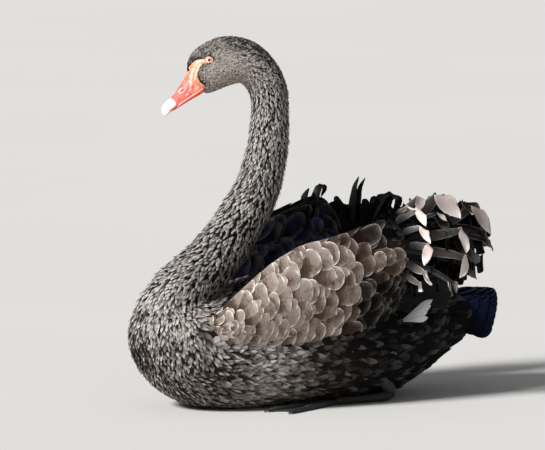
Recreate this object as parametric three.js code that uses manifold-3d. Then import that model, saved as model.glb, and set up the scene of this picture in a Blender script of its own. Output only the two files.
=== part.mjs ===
// A life-size black swan that sits on its belly with its feet tucked under, its neck in a tall S,
// and both wings raised so that their curled feathers stand in a ruff.
// Sizes are in millimetres. The swan faces -X, its left side is -Y, +Z is up and z = 0 is the ground.
import * as THREE from "three";
import Module from "manifold-3d";

const wasm = await Module();
wasm.setup();

// Clearance between two pieces that touch.
const GAP = 0.3;
// Height of the ground, which cuts the belly flat.
const GROUND = 0;
// Limits on how a corner is moved when a shell is grown by a clearance.
const GROW_TURNS = 12;
const GROW_LIMIT = 3;
// Short steps in which a feather's curve is followed between two sections.
const CURVE_STEPS = 6;

// Torso, from breast to rump: x, half width, underside, height of the greatest width, back.
const TORSO = [
  [-263, 15, 88, 108, 126],
  [-257, 32, 73, 106, 139],
  [-247, 47, 57, 103, 149],
  [-232, 62, 38, 100, 155],
  [-210, 78, 20, 97, 157],
  [-180, 92, 6, 95, 157],
  [-140, 104, -3, 95, 160],
  [-95, 113, -5, 96, 171],
  [-45, 118, -5, 96, 182],
  [5, 119, -5, 97, 187],
  [55, 116, -5, 98, 184],
  [105, 108, -2, 99, 172],
  [150, 95, 12, 101, 157],
  [185, 80, 30, 102, 146],
  [202, 71, 41, 103, 142],
];
const TORSO_SIDES = 24;
const TORSO_SQUARENESS = 2.25;
const TORSO_STEP = 52;

// Rump behind the torso and the base of the tail behind it, with the same columns.
const RUMP = [
  [202, 71, 41, 103, 142],
  [222, 61, 53, 104, 141],
  [242, 50, 65, 105, 139],
  [258, 38, 76, 106, 134],
  [270, 20, 90, 108, 123],
];
const TAIL_BASE_X = 244;

// Neck axis below the head: distance forward of the pivot, height, radius.
const PIVOT_X = -57;
const NECK_AXIS = [
  [150, 112, 58],
  [146, 138.5, 52],
  [131, 165.5, 44.8],
  [108, 186, 41],
  [82, 208.7, 38.6],
  [51.8, 243, 36.2],
  [26.2, 279, 34.3],
  [9.6, 306.3, 32.8],
  [0.1, 337, 31.4],
  [-7, 366, 29.5],
  [-9.2, 396.5, 28.1],
  [-9.6, 418, 26.8],
];
const NECK_WIDTH_SHARE = 0.95;
// Head from nape to bill: crown point and throat point (forward, height), half width, and by what
// share the crown is narrower.
const HEAD = [
  [-35.5, 442, 17.5, 430.7, 25.2, 0],
  [-29.5, 463.6, 22, 444.4, 25, 0.02],
  [-19.8, 481.6, 29, 453, 25, 0.04],
  [-6, 499.9, 34, 457.2, 25.2, 0.06],
  [10.7, 514, 38.5, 457, 25.4, 0.1],
  [30, 522.3, 44, 455.8, 25.6, 0.14],
  [51, 525.4, 50.5, 454.3, 25.4, 0.17],
  [67.6, 523.8, 57.5, 452, 24.6, 0.18],
  [81.5, 517.4, 64.5, 449.5, 23, 0.17],
  [95.5, 509.4, 71, 447.5, 20.6, 0.15],
  [105.2, 498.8, 76, 446, 18.2, 0.12],
  [109.3, 487.9, 81, 444.8, 16.3, 0.08],
  [111.4, 477.1, 86, 444.5, 15, 0.05],
];
const HEAD_TURN_DEG = 16;
// Heights between which the neck turns from the body's plane into the head's.
const TURN_FROM_Z = 330;
const TURN_TO_Z = 470;
const NECK_SIDES = 16;

// Upper bill: culmen point, edge point, half width. The last row before NAIL_FROM starts the white nail.
const UPPER_BILL = [
  [111.9, 476.9, 95.1, 455.3, 14.8],
  [116.2, 466.2, 103.2, 447.6, 14.4],
  [123.2, 455.5, 112, 440.9, 13.8],
  [130.2, 444.6, 120.6, 434.7, 13.4],
  [135.7, 438.6, 127.6, 429.9, 13.2],
  [140.2, 434.9, 131.4, 427, 12.9],
  [144.6, 431, 135.2, 424.2, 12],
  [148.2, 426, 139.7, 419.9, 10],
  [149.3, 419.4, 143.2, 415.6, 6.6],
  [147, 414.6, 145.4, 413.4, 2.2],
];
const NAIL_ROW = 4;
const LOWER_BILL = [
  [94.5, 454.6, 86.5, 444.4, 13.2],
  [102.4, 446.5, 96.5, 440.6, 12.8],
  [111.2, 439.8, 106.5, 435.8, 12.3],
  [119.8, 433.7, 116.5, 430.9, 11.8],
  [126.8, 428.9, 124.3, 426.6, 11.2],
  [133.2, 423.6, 131.4, 421.6, 9.2],
  [138, 419.6, 137, 418.4, 4],
];
const BILL_SIDES = 16;
const NOSTRIL = { forward: 121, height: 450.6, half: [4.2, 1.5], depth: 3, tilt: -55 };

// Eyes: place in the head's plane, radius of the ball and of the ring of bare lid round it.
const EYE = {
  forward: 83.7, height: 495, radius: 5.6, proud: 2.4,
  lidTop: 5.2, lidBase: 6.6, lidHeight: 1.2, lidSunk: 3,
};

// Wing, from shoulder to rear edge: x, lower edge z, ridge z, |y| at lower edge, middle, ridge, thickness.
const WING = [
  [-196, 112, 122, 66, 72, 68, 5],
  [-182, 106, 138, 80, 86, 77, 10],
  [-160, 103, 158, 95, 103, 84, 16],
  [-130, 103, 184, 107, 117, 90, 22],
  [-92, 104, 213, 115, 126, 95, 25],
  [-50, 107, 234, 119, 131, 98, 25],
  [-3, 111, 243, 120, 133, 100, 24],
  [40, 118, 254, 118, 132, 101, 23],
  [72, 128, 263, 114, 129, 101, 22],
  [95, 143, 262, 110, 125, 101, 19],
  [112, 162, 248, 108, 119, 103, 14],
  [120, 182, 231, 109, 114, 105, 9],
];
const WING_OUTER_POINTS = 6;
const WING_INNER_POINTS = 3;
const WING_STEP = 50;
// How far the ridge stands up between these places, and by how much on each side.
const RIDGE_RISE = [[-80, 0], [15, 1], [85, 1], [120, 0]];
const RIDGE_LIFT = { left: 0, right: 10 };
// By how many degrees each side's ruff is turned down towards the tail.
const RUFF_TURN = { left: 0, right: 9 };

// No root is sunk deeper than this share of the wing's thickness.
const ROOT_DEPTH = 0.8;

// Coverts, row by row from the shoulder: x of the roots, how many, length, share of the wing's height.
const COVERT_ROWS = [
  [-170, 2, 42, 1],
  [-149, 2, 50, 1],
  [-114, 3, 50, 1],
  [-80, 3, 50, 1],
  [-46, 4, 50, 1],
  [-12, 4, 50, 1],
  [22, 4, 47, 1],
  [53, 4, 43, 1],
  [82, 2, 34, 0.55],
];
const COVERT = { overlap: 1.34, roll: 1.3, middle: 0.6, edge: 0.35, rootMargin: 0.2, margin: 0.01 };
// Along a covert from root to tip: share of its length, share of its width, height above the wing.
const COVERT_LINE = [[0, 0.42, -5], [0.26, 0.76, 2.1], [0.78, 0.94, 4.4], [1, 0.4, 5.2]];

// Curled feathers of the ruff fan out from one point of the wing. The outline gives how far they
// reach at each angle above the level, and each tier ends at its own share of that.
const RUFF_CENTRE = [50, 228];
const RUFF_OUTLINE = [
  [-42, 112], [-30, 134], [-19, 162], [-7, 182], [7, 186],
  [18, 165], [29, 138], [38, 110], [48, 88], [64, 70],
];
const RUFF_TIERS = [
  { share: 1, root: 46, depth: 15, lean: 4, width: 35, angles: [44, 32, 20, 8, -3, -14] },
  { share: 0.8, root: 50, depth: 10, lean: 8, width: 34, angles: [38, 22, 4, -22] },
  { share: 0.6, root: 50, depth: 5, lean: 12, width: 32, angles: [30, 12, -8, -27] },
];
const CURL = { radius: 20, turn: 118, rest: 10, roll: 12, bow: 3, middle: 0.8, edge: 0.4, curlSteps: 4 };
const CURL_WIDTH = [[0, 0.36], [0.3, 0.8], [0.6, 1], [0.85, 0.8], [1, 0.3]];
const RECTRIX_WIDTH = [[0, 0.35], [0.4, 0.9], [0.75, 1], [0.92, 0.75], [1, 0.3]];
// Single hooked feathers that stand up from the ridge: x, height above the ridge, lean back in degrees.
const HOOKS = [[62, 26, 40], [80, 30, 62]];

// Pale primaries below the ruff: roots, tips, and the size of the vanes and of the quills' base.
const PRIMARIES = {
  count: 3, root: [84, 110, 119], rootStep: [0, -2.2, 4], tip: [160, 106, 133], tipStep: [4, -2.6, 5.5],
  width: 17, base: [15, 6, 11],
};

// Tail: roots and tips of the arched fan of rectrices.
const TAIL = {
  count: 11, rootX: 250, rootZ: 126, rootSpread: 32, rootDroop: 26,
  tipX: 314, tipZ: 139, tipSpread: 52, tipDroop: 50, sweep: 40, arch: 1.8,
  width: 23, tileTurn: 12,
};
const RECTRIX = { roll: 0, bow: 1.4, middle: 0.7, edge: 0.35 };

// Feet: the tarsus lies back along the ground and the webbed toes point forward beside the keel.
const FOOT = {
  y: 74, heelX: 104, ankleX: 14, splay: 7, webThick: 3, toeRadius: 4.6, clawLength: 9,
  toes: [[88, 17], [112, -2], [102, -21]],
};

const clamp = (value, low, high) => Math.min(Math.max(value, low), high);
const mix = (a, b, t) => a + (b - a) * t;
const smooth = (t) => t * t * (3 - 2 * t);
const radians = THREE.MathUtils.degToRad;
const vec = (x, y, z) => new THREE.Vector3(x, y, z);

// A smooth function of the first column through the rows of a table, giving the other columns.
function throughRows(rows) {
  return (x) => {
    let i = 0;
    while (i < rows.length - 2 && x > rows[i + 1][0]) i++;
    const [p, q] = [rows[i], rows[i + 1]];
    const before = rows[Math.max(i - 1, 0)];
    const after = rows[Math.min(i + 2, rows.length - 1)];
    const h = q[0] - p[0];
    const t = clamp((x - p[0]) / h, 0, 1);
    const [t2, t3] = [t * t, t * t * t];
    return p.slice(1).map((a, k) => {
      const b = q[k + 1];
      const slopeA = ((b - before[k + 1]) / (q[0] - before[0])) * h;
      const slopeB = ((after[k + 1] - a) / (after[0] - p[0])) * h;
      return (2 * t3 - 3 * t2 + 1) * a + (t3 - 2 * t2 + t) * slopeA
        + (3 * t2 - 2 * t3) * b + (t3 - t2) * slopeB;
    });
  };
}

// Even stations from one x to another, no further apart than step.
function stations(from, to, step) {
  const count = Math.max(1, Math.ceil((to - from) / step - 1e-6));
  return Array.from({ length: count + 1 }, (_, i) => mix(from, to, i / count));
}

// A closed surface through rings of equal length, with a flat face over each end. A thin one has its
// upper side in the first half of each ring, and is split alike above and below.
function throughRings(rings, thin = false) {
  const count = rings[0].length;
  const points = rings.flat().map((p) => p.clone());
  const faces = [];
  for (let i = 0; i + 1 < rings.length; i++) {
    for (let j = 0; j < count; j++) {
      const a = i * count + j;
      const b = i * count + ((j + 1) % count);
      if (thin && j >= count / 2) faces.push([a, b, a + count], [b, b + count, a + count]);
      else faces.push([a, b, b + count], [a, b + count, a + count]);
    }
  }
  const lastStart = (rings.length - 1) * count;
  const cap = (ring) => (thin ? stripFaces(count) : capFaces(ring));
  for (const [a, b, c] of cap(rings[0])) faces.push([a, c, b]);
  for (const [a, b, c] of cap(rings.at(-1))) {
    faces.push([a + lastStart, b + lastStart, c + lastStart]);
  }
  return facingOut({ points, faces });
}

// Triangles over a thin ring, between its upper and its lower points.
function stripFaces(count) {
  return Array.from({ length: count / 2 - 1 }, (_, k) => [
    [k, k + 1, count - 2 - k], [k, count - 2 - k, count - 1 - k],
  ]).flat();
}

// Triangles over one ring, which turn the same way as the ring.
function capFaces(ring) {
  const centre = ring.reduce((sum, p) => sum.add(p), vec(0, 0, 0)).divideScalar(ring.length);
  const normal = vec(0, 0, 0);
  ring.forEach((p, i) => {
    const next = ring[(i + 1) % ring.length];
    normal.add(p.clone().sub(centre).cross(next.clone().sub(centre)));
  });
  normal.normalize();
  const across = ring[0].clone().sub(centre).projectOnPlane(normal).normalize();
  const up = normal.clone().cross(across);
  const flat = ring.map((p) => {
    const d = p.clone().sub(centre);
    return new THREE.Vector2(d.dot(across), d.dot(up));
  });
  return THREE.ShapeUtils.triangulateShape(flat, []);
}

// Turns a shell's faces round if they point inwards.
function facingOut(shell) {
  const volume = shell.faces.reduce((sum, [a, b, c]) => {
    const [p, q, r] = [shell.points[a], shell.points[b], shell.points[c]];
    return sum + p.dot(q.clone().cross(r));
  }, 0);
  if (volume < 0) shell.faces = shell.faces.map(([a, b, c]) => [a, c, b]);
  return shell;
}

// A three.js geometry as a shell, with its seams merged.
function shellOf(geometry, matrix) {
  const flat = geometry.index ? geometry.toNonIndexed() : geometry;
  if (matrix) flat.applyMatrix4(matrix);
  const position = flat.getAttribute("position");
  const seen = new Map();
  const points = [];
  const corner = [];
  for (let i = 0; i < position.count; i++) {
    const p = vec(position.getX(i), position.getY(i), position.getZ(i));
    const key = p.toArray().map((c) => Math.round(c * 1e4)).join();
    if (!seen.has(key)) {
      seen.set(key, points.length);
      points.push(p);
    }
    corner.push(seen.get(key));
  }
  const faces = [];
  for (let i = 0; i < corner.length; i += 3) {
    const face = corner.slice(i, i + 3);
    if (new Set(face).size === 3) faces.push(face);
  }
  return facingOut({ points, faces });
}

// The shell with each corner moved out until every face round it has moved by the clearance.
function grown(shell, by) {
  const around = shell.points.map(() => []);
  for (const face of shell.faces) {
    const [p, q, r] = face.map((i) => shell.points[i]);
    const normal = q.clone().sub(p).cross(r.clone().sub(p)).normalize();
    for (const i of face) around[i].push(normal);
  }
  const points = shell.points.map((p, i) => {
    const move = vec(0, 0, 0);
    for (let turn = 0; turn < GROW_TURNS; turn++) {
      for (const normal of around[i]) {
        move.addScaledVector(normal, Math.max(0, by - normal.dot(move)));
      }
    }
    return p.clone().add(move.clampLength(0, GROW_LIMIT * by));
  });
  return { points, faces: shell.faces };
}

function solid(shell, by = 0) {
  const { points, faces } = by ? grown(shell, by) : shell;
  const vertProperties = new Float32Array(points.flatMap((p) => p.toArray()));
  const triVerts = new Uint32Array(faces.flat());
  return new wasm.Manifold(new wasm.Mesh({ numProp: 3, vertProperties, triVerts }));
}

const joined = (solids) => solids.reduce((sum, next) => sum.add(next));

// The largest closed surface of a solid, which drops scraps and sealed hollows.
function largest(made) {
  const pieces = made.decompose();
  return pieces.reduce((best, piece) => (piece.volume() > best.volume() ? piece : best));
}

function box(x0, x1, y0, y1, z0, z1) {
  const shape = new THREE.BoxGeometry(x1 - x0, y1 - y0, z1 - z0);
  shape.translate((x0 + x1) / 2, (y0 + y1) / 2, (z0 + z1) / 2);
  return solid(shellOf(shape));
}

const FAR = 900;
const aboveGround = () => box(-FAR, FAR, -FAR, FAR, GROUND, FAR);
const mirrored = (shell) => facingOut({
  points: shell.points.map((p) => vec(p.x, -p.y, p.z)),
  faces: shell.faces,
});

// One round section of the body in the plane of x, squarer than an ellipse.
function bodyRing(x, [halfWidth, low, middle, high]) {
  const power = (value) => Math.sign(value) * Math.abs(value) ** (2 / TORSO_SQUARENESS);
  return Array.from({ length: TORSO_SIDES }, (_, j) => {
    const angle = (2 * Math.PI * j) / TORSO_SIDES;
    const rise = Math.sin(angle) > 0 ? high - middle : middle - low;
    return vec(x, halfWidth * power(Math.cos(angle)), middle + rise * power(Math.sin(angle)));
  });
}

function bodyShell(table, from, to, step) {
  const at = throughRows(table);
  const rows = table.map((row) => row[0]).filter((x) => x > from + 1 && x < to - 1);
  const xs = [from, ...rows, to].flatMap((x, i, all) =>
    i + 1 < all.length ? stations(x, all[i + 1], step).slice(0, -1) : [x]);
  return throughRings(xs.map((x) => bodyRing(x, at(x))));
}

// A point of the head's plane: forward of the pivot, sideways to the swan's left, and height.
function inHeadPlane(forward, left, height) {
  const share = clamp((height - TURN_FROM_Z) / (TURN_TO_Z - TURN_FROM_Z), 0, 1);
  const turn = radians(HEAD_TURN_DEG) * smooth(share);
  return vec(
    PIVOT_X - forward * Math.cos(turn) - left * Math.sin(turn),
    forward * Math.sin(turn) - left * Math.cos(turn),
    height,
  );
}

// Crown point, throat point, half width and crown narrowing of every section from breast to bill.
function neckAndHeadRows() {
  const neck = NECK_AXIS.map(([forward, height, radius], i) => {
    const before = NECK_AXIS[Math.max(i - 1, 0)];
    const after = NECK_AXIS[Math.min(i + 1, NECK_AXIS.length - 1)];
    const along = new THREE.Vector2(after[0] - before[0], after[1] - before[1]).normalize();
    const back = [-along.y * radius, along.x * radius];
    return [
      forward + back[0], height + back[1], forward - back[0], height - back[1],
      radius * NECK_WIDTH_SHARE, 0,
    ];
  });
  return [...neck, ...HEAD];
}

const NECK_HEAD = throughRows(neckAndHeadRows().map((row, i) => [i, ...row]));

// A ring between a crown point and a throat point. A positive shift moves it on along the neck.
function neckRing(index, shift = 0) {
  const [crownA, crownZ, throatA, throatZ, half, narrow] = NECK_HEAD(index);
  const [a, z] = [(crownA + throatA) / 2, (crownZ + throatZ) / 2];
  const [upA, upZ] = [(crownA - throatA) / 2, (crownZ - throatZ) / 2];
  const radius = Math.hypot(upA, upZ);
  const [onA, onZ] = [(upZ / radius) * shift, (-upA / radius) * shift];
  return Array.from({ length: NECK_SIDES }, (_, j) => {
    const angle = (2 * Math.PI * j) / NECK_SIDES;
    const [side, up] = [Math.cos(angle), Math.sin(angle)];
    return inHeadPlane(a + onA + upA * up, half * side * (1 - narrow * up), z + onZ + upZ * up);
  });
}

function neckShell(from, to, perRow) {
  const indexes = stations(from, to, 1 / perRow);
  const rings = indexes.map((index, i) => {
    const shift = i === 0 ? GAP / 2 : i === indexes.length - 1 ? -GAP / 2 : 0;
    return neckRing(index, shift);
  });
  return throughRings(rings);
}

// One section of the bill: round above, and flat or round along its edge.
function billRing([topA, topZ, edgeA, edgeZ, half], flatness) {
  const [a, z] = [(topA + edgeA) / 2, (topZ + edgeZ) / 2];
  const [upA, upZ] = [(topA - edgeA) / 2, (topZ - edgeZ) / 2];
  return Array.from({ length: BILL_SIDES }, (_, j) => {
    const angle = (2 * Math.PI * j) / BILL_SIDES;
    const side = Math.cos(angle);
    const raw = Math.sin(angle);
    const up = raw < 0 ? Math.sign(raw) * Math.abs(raw) ** flatness : raw;
    return inHeadPlane(a + upA * up, half * side, z + upZ * up);
  });
}

function billShell(rows, flatness) {
  return throughRings(rows.map((row) => billRing(row, flatness)));
}

// Repeatable random numbers from -1 to 1.
function seeded(seed) {
  let state = seed;
  return () => {
    state = (Math.imul(state, 1664525) + 1013904223) >>> 0;
    return state / 2 ** 31 - 1;
  };
}

// The six points of a vane's section: left, middle and right above, and back again below.
function vaneSection(left, middle, right, normals, { middle: thick, edge }) {
  const moved = (p, k, by) => p.clone().addScaledVector(normals[k], by);
  return [
    moved(left, 0, edge), moved(middle, 1, thick), moved(right, 2, edge),
    moved(right, 2, -edge), moved(middle, 1, -thick), moved(left, 0, -edge),
  ];
}

// A free feather with a section at each of the given shares of its length. It leaves its root along a
// direction with its outer face turned to face, and bend tells by how much it has turned towards that face.
function vaneShell({ root, along, face, length, width, shape, profile, shares, bend }) {
  const widthAt = throughRows(profile);
  const ahead = along.clone().normalize();
  const out = face.clone().projectOnPlane(ahead).normalize().applyAxisAngle(ahead, radians(shape.roll));
  const side = ahead.clone().cross(out);
  const turned = (angle, from, to) =>
    from.clone().multiplyScalar(Math.cos(angle)).addScaledVector(to, Math.sin(angle));
  const place = root.clone();
  const rings = shares.map((share, i) => {
    const before = i ? shares[i - 1] : share;
    for (let k = 0; k < CURVE_STEPS; k++) {
      const angle = bend(mix(before, share, (k + 0.5) / CURVE_STEPS));
      place.addScaledVector(turned(angle, ahead, out), ((share - before) * length) / CURVE_STEPS);
    }
    const normal = turned(bend(share), out, ahead.clone().negate());
    const half = (width / 2) * widthAt(share)[0];
    const low = place.clone().addScaledVector(normal, -shape.bow * ((2 * half) / width));
    const left = low.clone().addScaledVector(side, -half);
    const right = low.clone().addScaledVector(side, half);
    return vaneSection(left, place, right, [normal, normal, normal], shape);
  });
  return throughRings(rings, true);
}

const WING_AT = throughRows(WING);
const RISE_AT = throughRows(RIDGE_RISE);

// A point on the outer face of the left wing: t runs from the lower edge to the ridge.
function wingPoint(x, t, lift, inward = 0) {
  const [low, ridge, yLow, yMiddle, yRidge] = WING_AT(x);
  const handle = 2 * yMiddle - (yLow + yRidge) / 2;
  const y = (1 - t) * (1 - t) * yLow + 2 * t * (1 - t) * handle + t * t * yRidge;
  return vec(x, -(y - inward), mix(low, ridge + lift * RISE_AT(x)[0], t));
}

function wingNormal(x, t, lift) {
  const step = 0.01;
  const alongX = wingPoint(x + 1, t, lift).sub(wingPoint(x - 1, t, lift));
  const alongT = wingPoint(x, t + step, lift).sub(wingPoint(x, t - step, lift));
  return alongX.cross(alongT).normalize();
}

// How thick the wing is at a place of its outer face.
function wingDepth(x, t) {
  return WING_AT(x)[5] * Math.sin(Math.PI * t) ** 0.35;
}

function wingRing(x, lift) {
  const outer = stations(0, 1, 1 / (WING_OUTER_POINTS - 1)).map((t) => wingPoint(x, t, lift));
  const inner = stations(0, 1, 1 / (WING_INNER_POINTS + 1)).slice(1, -1).reverse()
    .map((t) => wingPoint(x, t, lift, wingDepth(x, t)));
  return [...outer, ...inner];
}

function wingShell(lift) {
  const xs = WING.map((row) => row[0]).flatMap((x, i, all) =>
    i + 1 < all.length ? stations(x, all[i + 1], WING_STEP).slice(0, -1) : [x]);
  return throughRings(xs.map((x) => wingRing(x, lift)));
}

// A covert that lies along the outer face of the wing, with its root sunk in and its tip lifted. It is
// rolled a little, so that its upper edge lies over the next one's lower edge.
function covertShell(x, t, length, halfShare, lift) {
  const rings = COVERT_LINE.map(([s, share, height]) => {
    const margin = s ? COVERT.margin : COVERT.rootMargin;
    const places = [-1, 0, 1].map((side) => ({
      at: clamp(t + side * halfShare * share, margin, 1 - margin),
      up: height + side * COVERT.roll * share,
    }));
    const along = x + s * length;
    const normals = places.map(({ at }) => wingNormal(along, at, lift));
    const points = places.map(({ at, up }, k) => wingPoint(along, at, lift)
      .addScaledVector(normals[k], Math.max(up, -ROOT_DEPTH * wingDepth(along, at))));
    return vaneSection(...points, normals, COVERT);
  });
  return throughRings(rings, true);
}

function covertShells(lift) {
  const random = seeded(11);
  return COVERT_ROWS.flatMap(([x, count, length, high], row) => {
    const first = row % 2 ? 0.34 : 0.66;
    return Array.from({ length: count }, (_, i) => covertShell(
      x + 1.5 * random(),
      (high * (i + first)) / count,
      length * (1 + 0.03 * random()),
      (high * COVERT.overlap * 0.5) / count,
      lift));
  });
}

// The curled feathers behind the wing, tier by tier.
function curlShells(lift, ruffTurn) {
  const random = seeded(5);
  const reachAt = throughRows(RUFF_OUTLINE);
  const [centreX, centreZ] = RUFF_CENTRE;
  return RUFF_TIERS.flatMap(({ share, root, depth, lean, width, angles }) => angles.map((angle) => {
    const turn = radians(angle - ruffTurn + 2 * random());
    const reach = reachAt(angle)[0] * share * (1 + 0.02 * random());
    const from = Math.min(root, reach - 1.6 * CURL.radius);
    const x = centreX + from * Math.cos(turn);
    const z = centreZ + from * Math.sin(turn);
    const [low, ridge] = WING_AT(x);
    const t = clamp((z - low) / (ridge + lift * RISE_AT(x)[0] - low), 0.1, 0.9);
    const radius = CURL.radius * (1 + 0.12 * random());
    const curled = radius * radians(CURL.turn);
    const straight = Math.max(reach - from - radius, 6);
    const start = straight / (straight + curled);
    return vaneShell({
      root: wingPoint(x, t, lift, Math.min(depth, ROOT_DEPTH * wingDepth(x, t))),
      along: vec(Math.cos(turn), -Math.tan(radians(lean)), Math.sin(turn)),
      face: vec(-0.12, -1, 0.15 + 0.1 * random()),
      length: straight + curled,
      width: width * (1 + 0.1 * random()),
      shape: CURL,
      profile: CURL_WIDTH,
      shares: [0, start / 2, ...stations(start, 1, (1 - start) / CURL.curlSteps)],
      bend: (s) => radians(CURL.rest) * Math.min(1, s / start)
        + radians(CURL.turn) * Math.max(0, (s - start) / (1 - start)),
    });
  }));
}

// The hooked feathers on the ridge.
function hookShells(lift) {
  return HOOKS.map(([x, height, lean]) => {
    const tilt = radians(lean);
    return vaneShell({
      root: wingPoint(x - 6, 0.86, lift, 5),
      along: vec(Math.sin(tilt), -0.1, Math.cos(tilt)),
      face: vec(0, -1, 0),
      length: height * 1.7,
      width: 20,
      shape: CURL,
      profile: CURL_WIDTH,
      shares: [0, 0.5, 0.67, 0.83, 1],
      bend: (s) => radians(150) * Math.max(0, s - 0.5) * 2,
    });
  });
}

// A straight, slightly drooping vane from one place to another.
function straightVane(from, to, face, width) {
  return vaneShell({
    root: from,
    along: to.clone().sub(from),
    face,
    length: to.distanceTo(from),
    width,
    shape: RECTRIX,
    profile: RECTRIX_WIDTH,
    shares: RECTRIX_WIDTH.map((row) => row[0]),
    bend: (s) => radians(-5) * s,
  });
}

// The pale primaries, laid over one another from a common base.
function primariesShells() {
  const { count, root, rootStep, tip, tipStep, width, base } = PRIMARIES;
  const at = ([x, y, z], [dx, dy, dz], i) => vec(x + dx * i, -(y + dy * i), z + dz * i);
  const vanes = Array.from({ length: count }, (_, i) =>
    straightVane(at(root, rootStep, i), at(tip, tipStep, i), vec(0.05, -1, 0.3), width));
  return [...vanes, lump(at(root, rootStep, (count - 1) / 2), base)];
}

// A rounded lump with given half sizes.
function lump(middle, [halfX, halfY, halfZ]) {
  const shape = new THREE.SphereGeometry(1, 8, 5);
  shape.scale(halfX, halfY, halfZ);
  shape.translate(middle.x, middle.y, middle.z);
  return shellOf(shape);
}

// The rectrices in an arched fan, the middle one on top and each further one a little lower.
function rectrixShells() {
  return Array.from({ length: TAIL.count }, (_, i) => {
    const s = (2 * i) / (TAIL.count - 1) - 1;
    const drop = Math.abs(s) ** TAIL.arch;
    const from = vec(TAIL.rootX, TAIL.rootSpread * s, TAIL.rootZ - TAIL.rootDroop * drop);
    const to = vec(TAIL.tipX - TAIL.sweep * s * s, TAIL.tipSpread * s, TAIL.tipZ - TAIL.tipDroop * drop);
    const slope = (TAIL.tipDroop * TAIL.arch * Math.abs(s) ** (TAIL.arch - 1)) / TAIL.tipSpread;
    const roll = Math.atan(slope) - radians(TAIL.tileTurn);
    return straightVane(from, to, vec(0, Math.sign(s) * Math.sin(roll), Math.cos(roll)), TAIL.width);
  });
}

// A round tapering limb through points, each with its radius.
function limbShell(points, sides = 10) {
  const rings = points.map(([x, y, z, radius], i) => {
    const before = points[Math.max(i - 1, 0)];
    const after = points[Math.min(i + 1, points.length - 1)];
    const along = vec(after[0] - before[0], after[1] - before[1], after[2] - before[2]).normalize();
    const across = vec(0, 1, 0).projectOnPlane(along).normalize();
    const up = across.clone().cross(along).normalize();
    return Array.from({ length: sides }, (_, j) => {
      const angle = (2 * Math.PI * (j + 0.5)) / sides;
      return vec(x, y, z).addScaledVector(across, radius * Math.cos(angle))
        .addScaledVector(up, radius * Math.sin(angle));
    });
  });
  return throughRings(rings);
}

// The left foot: three toes joined by webs, with a blunt claw on each.
function footShells() {
  const [ankleX, ankleY] = [FOOT.ankleX, -FOOT.y];
  const radius = FOOT.toeRadius;
  const tips = FOOT.toes.map(([length, angle]) => {
    const heading = radians(angle - FOOT.splay);
    return { x: ankleX - length * Math.cos(heading), y: ankleY + length * Math.sin(heading), heading };
  });
  const toes = tips.map(({ x, y, heading }) => limbShell([
    [ankleX + 4, ankleY, radius, radius * 0.9],
    [mix(ankleX, x, 0.3), mix(ankleY, y, 0.3), radius, radius],
    [mix(ankleX, x, 0.65), mix(ankleY, y, 0.65), radius * 0.85, radius * 0.85],
    [x, y, radius * 0.75, radius * 0.7],
    [x - FOOT.clawLength * 0.6 * Math.cos(heading), y + FOOT.clawLength * 0.6 * Math.sin(heading), 2.9, 2],
    [x - FOOT.clawLength * Math.cos(heading), y + FOOT.clawLength * Math.sin(heading), 1.2, 0.7],
  ], 6));
  const outline = new THREE.Shape();
  outline.moveTo(ankleX + 3, ankleY);
  outline.lineTo(tips[0].x + 6, tips[0].y);
  outline.quadraticCurveTo(
    mix(tips[0].x, tips[1].x, 0.4) + 12, mix(tips[0].y, tips[1].y, 0.5), tips[1].x + 8, tips[1].y);
  outline.quadraticCurveTo(
    mix(tips[1].x, tips[2].x, 0.6) + 12, mix(tips[1].y, tips[2].y, 0.5), tips[2].x + 6, tips[2].y);
  const web = new THREE.ExtrudeGeometry(outline, {
    depth: FOOT.webThick, bevelEnabled: false, curveSegments: 6,
  });
  return [...toes, shellOf(web)];
}

// The left leg: the tarsus on the ground and the feathered shin up into the flank.
function legShell() {
  const y = -FOOT.y;
  return limbShell([
    [FOOT.ankleX + 5, y, 6.2, 5.2],
    [FOOT.ankleX + 22, y, 6, 5.4],
    [FOOT.heelX - 22, y, 6.4, 5.8],
    [FOOT.heelX - 5, y, 8, 7.4],
    [FOOT.heelX + 3, y + 1, 14, 8],
    [FOOT.heelX - 6, y + 3, 27, 9.5],
    [FOOT.heelX - 24, y + 7, 42, 12],
  ], 10);
}

// Where a line from the head's middle plane leaves the head's side at the eye.
function eyeSide() {
  let best = 0;
  for (const index of stations(NECK_AXIS.length + 6, NECK_AXIS.length + 11, 0.02)) {
    const [crownA, crownZ, throatA, throatZ, half, narrow] = NECK_HEAD(index);
    const [a, z] = [(crownA + throatA) / 2, (crownZ + throatZ) / 2];
    const [upA, upZ] = [(crownA - throatA) / 2, (crownZ - throatZ) / 2];
    const square = upA * upA + upZ * upZ;
    const up = ((EYE.forward - a) * upA + (EYE.height - z) * upZ) / square;
    const off = Math.hypot(EYE.forward - a - upA * up, EYE.height - z - upZ * up);
    if (off < 0.4 && Math.abs(up) < 1) best = half * Math.sqrt(1 - up * up) * (1 - narrow * up);
  }
  return best;
}

function ball(centre, radius, segments = 12) {
  const shape = new THREE.SphereGeometry(radius, segments, Math.round(segments * 0.7));
  shape.rotateX(Math.PI / 2);
  shape.translate(centre.x, centre.y, centre.z);
  return shellOf(shape);
}

// The bare lid round an eye, a low collar on the side of the head. side is where the head's skin lies.
function lidShell(side, outward) {
  const { lidTop, lidBase, lidHeight, lidSunk } = EYE;
  const collar = new THREE.CylinderGeometry(lidTop, lidBase, lidHeight + lidSunk, 14);
  collar.translate(0, (lidHeight - lidSunk) / 2, 0);
  const matrix = new THREE.Matrix4().makeRotationFromQuaternion(
    new THREE.Quaternion().setFromUnitVectors(vec(0, 1, 0), outward));
  matrix.setPosition(side);
  return shellOf(collar, matrix);
}

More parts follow.
